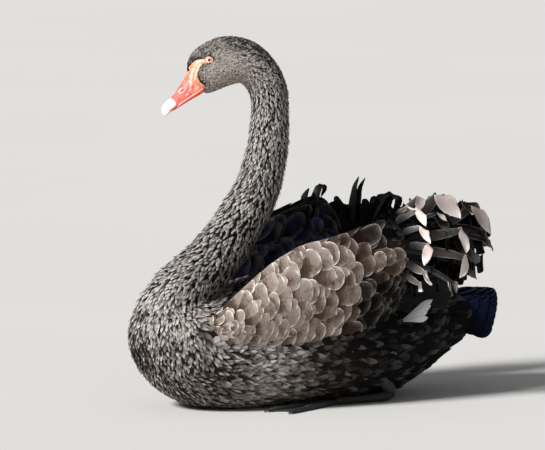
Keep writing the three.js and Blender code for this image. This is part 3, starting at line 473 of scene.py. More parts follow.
def drawn_out(name, rings):
    """A closed form drawn out from one filled circle, ring by ring."""
    deselect_all()
    bpy.ops.mesh.primitive_circle_add(vertices=len(rings[0]), radius=MM, fill_type="NGON")
    piece = bpy.context.active_object
    piece.name = piece.data.name = name
    bpy.ops.object.mode_set(mode="EDIT")
    mesh = bmesh.from_edit_mesh(piece.data)
    mesh.verts.ensure_lookup_table()
    ring = [vert.index for vert in mesh.verts]
    for index, place in zip(ring, rings[0]):
        mesh.verts[index].co = place
    bmesh.update_edit_mesh(piece.data)
    for places in rings[1:]:
        bpy.ops.mesh.extrude_region()
        mesh = bmesh.from_edit_mesh(piece.data)
        mesh.verts.ensure_lookup_table()
        above = []
        for index, place in zip(ring, places):
            old = mesh.verts[index]
            new = next(e.other_vert(old) for e in old.link_edges if e.other_vert(old).select)
            new.co = place
            above.append(new.index)
        ring = above
        bmesh.update_edit_mesh(piece.data)
    bpy.ops.mesh.select_all(action="SELECT")
    bpy.ops.mesh.normals_make_consistent(inside=False)
    bpy.ops.object.mode_set(mode="OBJECT")
    return piece


def joined(name, pieces):
    deselect_all()
    for piece in pieces:
        piece.select_set(True)
    bpy.context.view_layer.objects.active = pieces[0]
    bpy.ops.object.join()
    piece = bpy.context.active_object
    piece.name = piece.data.name = name
    return piece


def finished(piece, material, slot, *nodes, angle=None):
    """Shades a piece, gives it its material and ties it to the frame."""
    only(piece)
    if angle is None:
        bpy.ops.object.shade_smooth()
    else:
        bpy.ops.object.shade_smooth_by_angle(angle=math.radians(angle))
    piece.data.materials.clear()
    piece.data.materials.append(material)
    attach(piece, "root")
    if nodes:
        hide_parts(*nodes)
    return piece


def vane_object(name, grid, normal, shares, roots, tone, thick, pale=None):
    """Closed vanes from their upper sides, with their patterns' coordinates.

    grid and normal are arrays of vanes, rows, columns and xyz, shares the rows' places along the
    vane, roots the place of each root on the skin's unwrap, and tone a value for each vane.
    """
    vanes, rows, cols = grid.shape[:3]
    below = grid[:, :, -2:0:-1] - normal[:, :, -2:0:-1] * thick
    ring = 2 * cols - 2
    places = np.concatenate([grid, below], axis=2).reshape(-1, 3)
    k = np.arange(ring)
    r = np.arange(rows - 1)[:, None]
    quads = np.stack([r * ring + k, (r + 1) * ring + k, (r + 1) * ring + (k + 1) % ring,
                      r * ring + (k + 1) % ring], -1).reshape(-1, 4)
    caps = np.stack([k, (rows - 1) * ring + k[::-1]])
    corners = np.concatenate([quads.ravel(), caps.ravel()])
    sizes = np.concatenate([np.full(len(quads), 4), np.full(2, ring)])
    loops = (np.arange(vanes)[:, None] * rows * ring + corners).ravel()
    mesh = bpy.data.meshes.new(name)
    mesh.vertices.add(len(places))
    mesh.vertices.foreach_set("co", places.astype(np.float32).ravel())
    mesh.loops.add(len(loops))
    mesh.loops.foreach_set("vertex_index", loops.astype(np.int32))
    all_sizes = np.tile(sizes, vanes)
    mesh.polygons.add(len(all_sizes))
    starts = np.concatenate([[0], np.cumsum(all_sizes)[:-1]])
    mesh.polygons.foreach_set("loop_start", starts.astype(np.int32))
    mesh.update(calc_edges=True)

    across = np.concatenate([np.linspace(0, 1, cols), np.linspace(1, 0, cols)[1:-1]])
    along = np.broadcast_to(shares, (vanes, rows))[..., None]
    local = np.stack(np.broadcast_arrays(across, along), -1).reshape(vanes, -1, 2)
    vane_uv = local[:, corners].reshape(-1, 2)
    mesh.uv_layers.new(name="Vane").data.foreach_set("uv", vane_uv.astype(np.float32).ravel())
    patch = np.repeat(roots, len(corners), axis=0) + BAKE_PATCH * (vane_uv - 0.5)
    mesh.uv_layers.new(name="OFBake").data.foreach_set("uv", patch.astype(np.float32).ravel())
    # Painted light: faces of a leaf past its fold take the pale colour, by pale's share.
    under = np.zeros((vanes, rows - 1, ring))
    if pale is not None:
        under[:, :, cols - 1:] = pale[:, 1:, ::-1][:, :, :cols - 1]
    under = np.concatenate([under.reshape(vanes, -1), np.zeros((vanes, 2))], axis=1)
    for label, values in (("painted_leaf_light", under.ravel()), ("tone", np.repeat(tone, len(sizes)))):
        mesh.attributes.new(label, "FLOAT", "FACE").data.foreach_set("value", values.astype(np.float32))
    piece = bpy.data.objects.new(name, mesh)
    bpy.context.scene.collection.objects.link(piece)
    return piece


# The lie of the coat: for places all over the swan, the way feathers point and their size

def on_patch(patch, u, v):
    left, bottom, width, height = patch
    return np.stack([left + width * u, bottom + height * v], -1)


def sampled(surface, u, v, sign, patch, u_ends, v_ends):
    """Places, directions along u and unwrap coordinates over a surface."""
    u, v = (grid.ravel() for grid in np.meshgrid(u, v, indexing="ij"))
    place = surface(u, v)
    step = (u_ends[1] - u_ends[0]) * 1e-3
    along = unit(surface(u + step, v) - surface(u - step, v)) * sign
    spread = on_patch(patch, (u - u_ends[0]) / (u_ends[1] - u_ends[0]),
                      (v - v_ends[0]) / (v_ends[1] - v_ends[0]))
    return place, along, spread, u


def lie_of_coat():
    """Samples of the coat all over the swan: place, heading, unwrap, length, width, depth, region."""
    turn = 2 * np.pi
    found = []
    place, along, spread, row = sampled(neck_at, np.linspace(0.3, LAST_ROW, 170), np.linspace(0, turn, 56),
                                        -1, NECK_PATCH, (0, LAST_ROW), (0, turn))
    region = np.where(row > HEAD_ROW + 1.5, HEAD_REGION, NECK_REGION)
    found.append((place, along, spread, neck_coat(row), region))
    inset = 0.5 * MM
    place, along, spread, x = sampled(
        body_at, np.linspace(BODY_ENDS[0] + inset, BODY_ENDS[1] - inset, 160), np.linspace(0, turn, 120),
        1, BODY_PATCH, BODY_ENDS, (0, turn))
    breast = smooth((-0.14 - x) / 0.1)[:, None]
    down = np.where(place[:, 2:] > 0.06, [0, 0, -1], [1, 0, 0])
    found.append((place, unit(along * (1 - 0.8 * breast) + down * breast), spread, body_coat(x),
                  np.full(len(x), BODY_REGION)))
    for side in SIDES:
        place, along, spread, x = sampled(lambda x, q: wing_at(x, q, side), np.linspace(-0.194, 0.118, 90),
                                          np.linspace(0.02, 1.98, 80), 1, WING_PATCH[side], WING_ENDS,
                                          (0, 2))
        size = np.tile(WING_COAT, (len(x), 1)) * MM
        found.append((place, along, spread, size, np.full(len(x), WING_REGION)))
    return [np.concatenate(parts) for parts in zip(*found)]


LIE_PLACE, LIE_HEADING, LIE_UNWRAP, LIE_SIZE, LIE_REGION = lie_of_coat()
LIE_TREE = KDTree(len(LIE_PLACE))
for number, spot in enumerate(LIE_PLACE):
    LIE_TREE.insert(spot, number)
LIE_TREE.balance()


def nearest_lie(places):
    return np.array([LIE_TREE.find(place)[1] for place in places])


def blended_lie(places, count=8):
    """Heading, size and unwrap at places, the first two blended over the nearest samples."""
    near = np.array([[found[1] for found in LIE_TREE.find_n(place, count)] for place in places])
    return unit(LIE_HEADING[near].mean(1)), LIE_SIZE[near].mean(1), LIE_UNWRAP[near[:, 0]]


class Skin:
    """The finished skin as something that feathers can be set on."""

    def __init__(self, piece):
        self.places, normals = mesh_places(piece)
        mesh = piece.data
        mesh.calc_loop_triangles()
        triangles = np.empty(len(mesh.loop_triangles) * 3, int)
        mesh.loop_triangles.foreach_get("vertices", triangles)
        self.triangles = triangles.reshape(-1, 3)
        self.face_normals = unit(normals[self.triangles].sum(1))
        self.tree = BVHTree.FromPolygons(self.places.tolist(), self.triangles.tolist())

    def nearest(self, places):
        """The nearest places on the skin and the smoothed normals there."""
        found = [self.tree.find_nearest(place) for place in places]
        spots = np.array([f[0] for f in found])
        return spots, self.face_normals[[f[2] for f in found]]

    def scattered(self, wanted, spacing_of, random):
        """Roots spread evenly over the triangles that are wanted, no closer than their spacing."""
        corners = self.places[self.triangles[wanted]]
        middle = corners.mean(1)
        spacing = spacing_of(middle)
        doubled = np.cross(corners[:, 1] - corners[:, 0], corners[:, 2] - corners[:, 0])
        area = np.linalg.norm(doubled, axis=1) / 2
        crowd = area / spacing ** 2
        picked = random.choice(len(middle), int(5 * crowd.sum()), p=crowd / crowd.sum())
        share = random.random((len(picked), 2))
        share[share.sum(1) > 1] = 1 - share[share.sum(1) > 1]
        a, b, c = np.moveaxis(corners[picked], 1, 0)
        places = a + share[:, :1] * (b - a) + share[:, 1:] * (c - a)
        tree = KDTree(len(places))
        for i, place in enumerate(places):
            tree.insert(place, i)
        tree.balance()
        free = np.ones(len(places), bool)
        kept = []
        for i, place in enumerate(places):
            if free[i]:
                kept.append(i)
                for _, j, _ in tree.find_range(place, spacing[picked[i]]):
                    free[j] = False
        return places[kept], self.face_normals[wanted][picked[kept]]


def laid_vanes(skin, roots, normals, size, heading, shape, random):
    """Grids of vanes that lie over the skin from their roots along the coat's heading."""
    shares, widths, lifts, cols = shape["shares"], shape["widths"], shape["lifts"], shape["columns"]
    yaw = np.radians(shape["yaw"]) * random.standard_normal(len(roots))[:, None]
    heading = unit(heading - normals * (heading * normals).sum(1, keepdims=True))
    heading = heading * np.cos(yaw) + np.cross(normals, heading) * np.sin(yaw)
    length = size[:, :1] * (1 + 0.12 * random.standard_normal((len(roots), 1)).clip(-2, 2))
    places, across, up = [roots], [np.cross(normals, heading)], [normals]
    for before, share in zip(shares, shares[1:]):
        spots, normal = skin.nearest(places[-1] + heading * length * (share - before))
        heading = unit(heading - normal * (heading * normal).sum(1, keepdims=True))
        places.append(spots)
        across.append(np.cross(normal, heading))
        up.append(normal)
    places, across, up = (np.stack(parts, 1)[:, :, None] for parts in (places, across, up))
    roll = np.radians(shape["roll"]) * random.standard_normal(len(roots))[:, None, None, None]
    across, up = across * np.cos(roll) + up * np.sin(roll), up * np.cos(roll) - across * np.sin(roll)
    lane = np.linspace(-1, 1, cols)[None, None, :, None]
    half = (size[:, 1] / 2)[:, None, None, None] * np.array(widths)[None, :, None, None]
    wave = 1 + 0.3 * random.standard_normal(len(roots))[:, None, None, None]
    depth = size[:, 2][:, None, None, None]
    rise = depth * np.array(lifts)[None, :, None, None] * wave.clip(0.4, 1.7)
    grid = places + across * lane * half + up * (rise + shape["camber"] * half * (1 - lane ** 2))
    return grid, np.broadcast_to(up, grid.shape)


def above_floor(grid):
    """Feathers that would reach below the floor lie flat on it."""
    grid = grid.copy()
    grid[..., 2] = np.maximum(grid[..., 2], FEATHER_FLOOR)
    return grid


# Materials

# Settings that many nodes share: sums, a mix of colours, a range with soft ends, and the grain of a
# noise, whose scale is written as one over a size in millimetres.
PLUS, TIMES, TIMES_AND_PLUS, LARGER = (
    {"operation": name} for name in ("ADD", "MULTIPLY", "MULTIPLY_ADD", "MAXIMUM"))
OF_COLOURS = {"data_type": "RGBA"}
SOFT = {"interpolation_type": "SMOOTHSTEP"}
GRAIN = {"Detail": 3.0, "Roughness": 0.55}
BROAD_GRAIN = {"Detail": 2.0, "Roughness": 0.55}


def linear(hex_code):
    """A colour written as sRGB hex, in linear values with alpha."""
    values = [int(hex_code[i:i + 2], 16) / 255 for i in (1, 3, 5)]
    return (*[v / 12.92 if v <= 0.04045 else ((v + 0.055) / 1.055) ** 2.4 for v in values], 1)


def new_material(name):
    """A material without nodes, its tree, and the socket of its piece's coordinates."""
    material = bpy.data.materials.new(name)
    material.use_nodes = True
    material.node_tree.nodes.clear()
    tree = material.node_tree
    return material, tree, add(tree, "TexCoord").outputs["Object"]


def add(tree, kind, *inputs, **named):
    """Adds a node. Values and links go to its inputs, in order or by name, and all else is a setting.

    The order is that of the inputs that the settings leave in use. A node that is given as an
    input stands for its first output in use, and a string is a colour in hex.
    """
    node = tree.nodes.new("ShaderNode" + kind)
    for name, value in named.items():
        if name not in node.inputs:
            setattr(node, name, value)
    wanted = list(zip([socket for socket in node.inputs if socket.enabled], inputs))
    wanted += [(node.inputs[name], value) for name, value in named.items() if name in node.inputs]
    for socket, value in wanted:
        if isinstance(value, bpy.types.Node):
            value = next(output for output in value.outputs if output.enabled)
        if isinstance(value, str):
            value = linear(value)
        if isinstance(value, bpy.types.NodeSocket):
            tree.links.new(value, socket)
        else:
            socket.default_value = value
    return node


def surface(tree, colour, roughness, height=None, depth=0.0, **values):
    """The shader, with a height as bump where one is given, and the bump's depth in metres."""
    if height is not None:
        values["Normal"] = add(tree, "Bump", Height=height, Distance=depth)
    shader = add(tree, "BsdfPrincipled", **{"Base Color": colour, "Roughness": roughness, **values})
    add(tree, "OutputMaterial", shader)


def markings(tree, coords, dark, brown):
    """Colour shared by skin and coat: black plumage that fades to brown low on breast and flanks."""
    x, _, z = add(tree, "SeparateXYZ", coords).outputs
    patch = add(tree, "TexNoise", coords, 1 / (70 * MM), **GRAIN)
    level = add(tree, "Math", patch, 0.09, z, **TIMES_AND_PLUS)
    low = add(tree, "MapRange", level, 0.1, 0.2, 0.9, 0.0, **SOFT)
    front = add(tree, "MapRange", x, 0.1, -0.06, **SOFT)
    faded = add(tree, "Math", low, front, **TIMES)
    return add(tree, "Mix", faded, dark, brown, **OF_COLOURS)


def worn_patches(tree, coords, amount, off, slant, tone, patchy):
    """Makes the light of worn feathers uneven, in patches and in streaks along the barbs."""
    patches = add(tree, "TexNoise", coords, 1 / (24 * MM), Detail=1.0, Roughness=0.55)
    patches = add(tree, "MapRange", patches, 0.32, 0.68, 1 - patchy, 1 + patchy, **SOFT)
    amount = add(tree, "Math", amount, patches, **TIMES)
    line = add(tree, "CombineXYZ", off, add(tree, "Math", slant, 34.0, **TIMES),
               add(tree, "Math", tone, 90.0, **TIMES))
    streak = add(tree, "TexNoise", line, 1.0, Detail=2.0)
    streak = add(tree, "MapRange", streak, 0.3, 0.7, 0.76, 1.2, **SOFT)
    return add(tree, "Math", amount, streak, **TIMES)


def pale_margin(tree, coords, off, along, tone, share, patchy):
    """How much of the margin's colour shows: a frayed rim and tip over this share of the vane."""
    wide = add(tree, "Math", off, -0.05, **PLUS)
    frays = add(tree, "TexNoise", coords, 1 / (5 * MM), **GRAIN)
    wide = add(tree, "Math", frays, 0.2, wide, **TIMES_AND_PLUS)
    rim = add(tree, "MapRange", wide, 1.05 - share * 1.3, 1.05 - share * 0.3, **SOFT)
    tip = add(tree, "MapRange", along, 1 - share * 0.8, 1 - share * 0.15, **SOFT)
    soft = add(tree, "Math", add(tree, "MapRange", wide, 0.5, 1.05, **SOFT),
               add(tree, "MapRange", along, 0.7, 1.0, **SOFT), **LARGER)
    soft = add(tree, "Math", soft, patchy, **TIMES)
    margin = add(tree, "Math", rim, tip, **LARGER)
    margin = add(tree, "Math", margin, soft, **LARGER)
    kept = [add(tree, "MapRange", along, 0.35, 0.6, **SOFT)]
    if patchy:
        broken = add(tree, "TexNoise", coords, 1 / (11 * MM), **BROAD_GRAIN)
        kept.append(add(tree, "MapRange", broken, 0.34, 0.54, 0.3, 1.0, **SOFT))
    # On darker feathers the margin is dimmer, so the tone's painted shade reaches it too.
    kept.append(add(tree, "Math", tone, 0.85, 0.2, **TIMES_AND_PLUS))
    for share_kept in kept:
        margin = add(tree, "Math", margin, share_kept, **TIMES)
    return margin


def feather_material(name, dark, light, edge=None, edge_mm=0.0, width_mm=30, middle=None, brown=None,
                     under=None, roughness=0.5, sheen=0.05, barbs=26, gloss=0.25, depth=1.0, mottle=0.5,
                     patchy=0.0, root=0.25):
    """Keratin vanes: barbs that slant from the shaft, a paler margin and a tone for each feather.

    The colour runs from dark, over middle where there is one, to light, by each feather's tone, which
    also carries painted light and shade. The margin is edge_mm wide on a vane of width_mm, brown is the
    faded colour low on the body, and under that of the face that a curled tip shows, a painted light
    that turns near white at the tip. mottle and patchy say how uneven the light is, root how light the
    vane's root is, a painted shade where the vane before overlaps it, and barbs how many lines there
    are. They are far finer on a real vane.
    """
    material, tree, coords = new_material(name)
    across, along, _ = add(tree, "SeparateXYZ", add(tree, "UVMap", uv_map="Vane")).outputs
    tone = add(tree, "Attribute", attribute_name="tone").outputs["Fac"]
    off = add(tree, "Math", across, 2.0, -1.0, **TIMES_AND_PLUS)
    off = add(tree, "Math", off, operation="ABSOLUTE")
    slant = add(tree, "Math", off, -0.16, along, **TIMES_AND_PLUS)
    wave = add(tree, "Math", slant, 2 * math.pi * barbs, **TIMES)
    wave = add(tree, "Math", wave, operation="SINE")
    grain = add(tree, "TexNoise", coords, 1 / (3.2 * MM), **GRAIN)
    amount = add(tree, "Math", grain, 2 * mottle, 1 - mottle, **TIMES_AND_PLUS)
    # Painted shade: each vane darkens towards its root, where the one before overlaps it.
    for factor in (tone, add(tree, "MapRange", along, 0.2, 0.75, root, 1.0, **SOFT)):
        amount = add(tree, "Math", amount, factor, **TIMES)
    lines = add(tree, "Math", wave, tone, **TIMES)
    amount = add(tree, "Math", lines, 0.03, amount, **TIMES_AND_PLUS)
    if patchy:
        amount = worn_patches(tree, coords, amount, off, slant, tone, patchy)
    base = markings(tree, coords, dark, brown) if brown else dark
    if middle:
        base = add(tree, "Mix", add(tree, "MapRange", amount, 0.0, 0.5), base, middle, **OF_COLOURS)
        amount = add(tree, "MapRange", amount, 0.5, 1.0)
    colour = add(tree, "Mix", amount, base, light, **OF_COLOURS)
    if edge_mm:
        margin = pale_margin(tree, coords, off, along, tone, 2 * edge_mm / width_mm, patchy)
        colour = add(tree, "Mix", margin, colour, edge, **OF_COLOURS)
    # Painted light: the face that a curled leaf shows is pale, near white at its tip, as if sunlit.
    if under:
        tip = add(tree, "MapRange", along, 0.78, 0.97, **SOFT)
        pale = add(tree, "Mix", tip, under, "#fbf3ee", **OF_COLOURS)
        lines = add(tree, "Math", wave, 0.1, 0.1, **TIMES_AND_PLUS)
        pale = add(tree, "Mix", lines, pale, light, **OF_COLOURS)
        below = add(tree, "Attribute", attribute_name="painted_leaf_light").outputs["Fac"]
        colour = add(tree, "Mix", below, colour, pale, **OF_COLOURS)
    shaft = add(tree, "MapRange", off, 0.0, 0.1, 0.5, 0.0, **SOFT)
    height = add(tree, "Math", shaft, grain, **PLUS)
    height = add(tree, "Math", wave, 0.1, height, **TIMES_AND_PLUS)
    surface(tree, colour, roughness, height, 0.15 * MM * depth,
            **{"Sheen Weight": sheen, "Sheen Roughness": 0.4, "Sheen Tint": "#b9b4b8",
               "Specular IOR Level": gloss})
    return material


def skin_material(colours):
    """Skin under the plumage: dark down, matte, with the coat's own markings."""
    material, tree, coords = new_material("Dark down over skin")
    colour = markings(tree, coords, "#0d0c0e", colours.flank_brown)
    fluff = add(tree, "TexNoise", coords, 1 / (2 * MM), **GRAIN)
    colour = add(tree, "Mix", fluff, colour, "#050505", **OF_COLOURS)
    surface(tree, colour, 0.9, fluff, 0.5 * MM, **{"Specular IOR Level": 0.1})
    return material


def bill_material(colours):
    """Bill and lore: waxy keratin over bone, with creases pale as a painted highlight, warts and a paler
    cutting edge.
    """
    material, tree, coords = new_material("Waxy red bill sheath, painted highlights")
    crease, rim, slit, edge, eyeward = (
        add(tree, "Attribute", attribute_name=name).outputs["Fac"]
        for name in ("crease", "rim", "slit", "edge", "eyeward"))
    clouds = add(tree, "TexNoise", coords, 1 / (6 * MM), **BROAD_GRAIN)
    warts = add(tree, "TexNoise", coords, 1 / (1.5 * MM), **GRAIN)
    colour = add(tree, "Mix", add(tree, "MapRange", clouds, 0.35, 0.65, **SOFT), colours.bill_red,
                 "#f08577", **OF_COLOURS)
    lore = add(tree, "Mix", add(tree, "MapRange", clouds, 0.38, 0.6, **SOFT), "#f08052",
               colours.lore_pink, **OF_COLOURS)
    colour = add(tree, "Mix", eyeward, colour, lore, **OF_COLOURS)
    colour = add(tree, "Mix", slit, colour, "#f0341a", **OF_COLOURS)
    # Uneven breaks in the pale marks, the creases' painted highlight among them.
    worn = add(tree, "TexNoise", coords, 1 / (3.4 * MM), **GRAIN)
    pale = add(tree, "Math", crease, rim, **LARGER)
    for factor in (add(tree, "MapRange", warts, 0.3, 0.6, 0.5, 1.0, **SOFT),
                   add(tree, "MapRange", worn, 0.38, 0.56, 0.35, 1.0, **SOFT)):
        pale = add(tree, "Math", pale, factor, **TIMES)
    pale = add(tree, "Math", pale, edge, **LARGER)
    pale = add(tree, "Math", pale, 0.9, **TIMES)
    colour = add(tree, "Mix", pale, colour, "#fdeedd", **OF_COLOURS)
    height = add(tree, "Math", clouds, warts, **PLUS)
    surface(tree, colour, 0.45, height, 0.25 * MM, **{"Coat Weight": 0.08, "Coat Roughness": 0.3,
            "Subsurface Weight": 0.12, "Subsurface Scale": 1.5 * MM})
    return material


def nail_material(colours):
    """Nail of the bill: smooth ivory horn with a red edge and faint growth lines."""
    material, tree, coords = new_material("Ivory bill nail")
    lines = add(tree, "TexNoise", coords, 1 / (2.5 * MM), **GRAIN)
    ivory = add(tree, "Mix", add(tree, "MapRange", lines, 0.4, 0.7, **SOFT), "#f3efe9",
                "#ddd3c9", **OF_COLOURS)
    red = add(tree, "Attribute", attribute_name="red").outputs["Fac"]
    colour = add(tree, "Mix", red, ivory, colours.bill_red, **OF_COLOURS)
    surface(tree, colour, 0.3, lines, 0.08 * MM, **{"Coat Weight": 0.3, "Coat Roughness": 0.15})
    return material


def claw_material():
    """Claw: dark horn, worn paler in spots, with a dull shine."""
    material, tree, coords = new_material("Dark claw horn")
    wear = add(tree, "TexNoise", coords, 1 / (3 * MM), **GRAIN)
    colour = add(tree, "Mix", wear, "#1b1917", "#4a443e", **OF_COLOURS)
    surface(tree, colour, 0.35, wear, 0.1 * MM)
    return material


def eye_material(colours):
    """Wet eyeball: black pupil, pale red iris with fine spokes, and a clear coat for the cornea."""
    material, tree, coords = new_material("Wet eyeball")
    off = add(tree, "Attribute", attribute_name="off_axis").outputs["Fac"]
    spokes = add(tree, "TexNoise", coords, 1 / (0.5 * MM), **GRAIN)
    iris = add(tree, "Mix", add(tree, "MapRange", spokes, 0.3, 0.7, **SOFT), colours.iris,
               "#fdf3ec", **OF_COLOURS)
    ring = add(tree, "MapRange", off, 42.0, 50.0, **SOFT)
    colour = add(tree, "Mix", ring, iris, "#c4645a", **OF_COLOURS)
    pupil = add(tree, "MapRange", off, 18.5, 21.0, **SOFT)
    colour = add(tree, "Mix", pupil, "#030303", colour, **OF_COLOURS)
    surface(tree, colour, 0.25, **{"Coat Weight": 1.0, "Coat Roughness": 0.02, "Coat IOR": 1.38})
    return material


def eyelid_material():
    """Eyelid: a moist ring of beaded bare skin, salmon with paler beads."""
    material, tree, coords = new_material("Beaded eyelid skin")
    beads = add(tree, "TexNoise", coords, 1 / (1.2 * MM), **GRAIN)
    colour = add(tree, "Mix", add(tree, "MapRange", beads, 0.35, 0.65, **SOFT), "#e77d72",
                 "#fbd3c6", **OF_COLOURS)
    surface(tree, colour, 0.4, beads, 0.2 * MM)
    return material


def leg_material():
    """Scaly skin of leg and web: black leather with small plates and greyish dust in the seams."""
    material, tree, coords = new_material("Scaled black leg skin")
    plates = add(tree, "TexVoronoi", coords, 1 / (2.6 * MM), feature="DISTANCE_TO_EDGE")
    seam = add(tree, "MapRange", plates, 0.0, 0.12, **SOFT)
    grain = add(tree, "TexNoise", coords, 1 / (6 * MM), **GRAIN)
    colour = add(tree, "Mix", grain, "#151516", "#2d2b2c", **OF_COLOURS)
    colour = add(tree, "Mix", seam, "#3d3a39", colour, **OF_COLOURS)
    surface(tree, colour, 0.55, seam, 0.4 * MM)
    return material


def floor_material():
    """Painted studio floor, pale and matte, with a very faint unevenness."""
    material, tree, coords = new_material("Matt studio paint")
    clouds = add(tree, "TexNoise", coords, 1 / (600 * MM), **GRAIN)
    surface(tree, add(tree, "Mix", clouds, "#d0cecb", "#d6d4d1", **OF_COLOURS), 0.85)
    return material


# Sizes and colours that a user would change

class SwanSizes(bpy.types.PropertyGroup):
    voxel: FloatProperty(name="Skin fineness", description="Edge of the skin's small faces",
                         default=2.75 * MM, unit="LENGTH")
    crimp: FloatProperty(name="Crimp", description="Height of the waves in the curled feathers' margins",
                         default=1.6 * MM, unit="LENGTH")
    rectrices: IntProperty(name="Tail feathers", description="How many feathers the tail fans out",
                           default=17)
    seed: IntProperty(name="Seed", description="Start of the random draws", default=7)


# Colours: label, what they are for, sRGB.
COLOURS = {
    "black": ("Black", "Deep tone of the plumage", "#09090b"),
    # Painted sheen: the neck's pale tips stand for light on black feathers.
    "grey": ("Grey", "Painted sheen on the neck feathers' tips", "#b5aea8"),
    # Painted sheen on the head's black velvet.
    "head_grey": ("Head grey", "Painted sheen on the short velvety head feathers", "#b0a69d"),
    "flank_brown": ("Flank brown", "Faded plumage low on the flanks", "#241c18"),
    "covert_brown": ("Covert brown", "Middle of the wing coverts", "#57463b"),
    "covert_edge": ("Covert margin", "Pale margin of the wing coverts", "#ece2d8"),
    # Painted sunlight on the curled leaves.
    "curl_pale": ("Curl underside", "Painted sunlight on the curled tips' lower faces", "#dfcdc6"),
    "white": ("White", "Primaries", "#dcdde0"),
    "bill_red": ("Bill red", "Sheath of the bill", "#de5d52"),
    "lore_pink": ("Lore pink", "Folds of the bare skin", "#f5b491"),
    "iris": ("Iris", "Iris of the eye", "#f0cfc4"),
}


class SwanColours(bpy.types.PropertyGroup):
    __annotations__ = {
        key: FloatVectorProperty(name=label, description=purpose, subtype="COLOR", size=4,
                                 default=linear(code))
        for key, (label, purpose, code) in COLOURS.items()}


# The finished skin and upper bill, on which later pieces are laid.
LAID_ON = {}


class SWAN_OT_skin(bpy.types.Operator):
    """Draws out body, neck, head and wings, fuses them and sinks them by the depth of the coat"""
    bl_idname = "swan.skin"
    bl_label = "Skin"

    def execute(self, context):
        turn = np.linspace(0, 2 * np.pi, 57)[:-1]
        body = drawn_out("body", [body_at(x, turn) for x in np.linspace(*BODY_ENDS, 76)])
        neck = drawn_out("neck", [neck_at(row, turn) for row in np.linspace(0.2, LAST_ROW, 84)])
        section = np.concatenate([np.linspace(0, 1, 20), np.linspace(1.05, 1.95, 14)])
        wings = [drawn_out("wing", [wing_at(x, section, side) for x in np.linspace(*WING_ENDS, 50)])
                 for side in SIDES]
        piece = joined("swan_skin", [body, neck, *wings])
        modified(piece, "REMESH", mode="VOXEL", voxel_size=context.scene.swan_sizes.voxel)
        modified(piece, "SMOOTH", factor=0.5, iterations=7)
        places, normals = mesh_places(piece)
        places = places - normals * LIE_SIZE[nearest_lie(places), 2][:, None]
        places[:, 2] = np.maximum(places[:, 2], SKIN_FLOOR)
        placed(piece, places)
        finished(piece, skin_material(context.scene.swan_colours), "plumage_black", "torso", "rump",
                 "neck_lower", "neck_middle", "neck_upper", "head")
        LAID_ON["skin"] = Skin(piece)
        return {"FINISHED"}


def inside(polygon, x, y):
    """Whether points lie inside a polygon."""
    hit = np.zeros(len(x), bool)
    for (ax, ay), (bx, by) in zip(polygon, polygon[1:] + polygon[:1]):
        crosses = (ay > y) != (by > y)
        hit ^= crosses & (x < (bx - ax) * (y - ay) / np.where(by == ay, 1, by - ay) + ax)
    return hit


def bare(places):
    """Where the head has no feathers: on the lores, round the eyes and at the bill's base."""
    forward, _ = to_head_plane(places)
    height = places[:, 2]
    outline = [(f * MM, z * MM) for f, z in LORE_FRONT + LORE_BACK[::-1]]
    eye = np.hypot(forward - EYE["forward"] * MM, height - EYE["height"] * MM) < EYE["bare"] * MM
    brow = (forward > BROW[0] * MM) & (height < BROW[1] * MM)
    return (height > HEAD_FROM_Z) & (inside(outline, forward, height) | eye | brow)


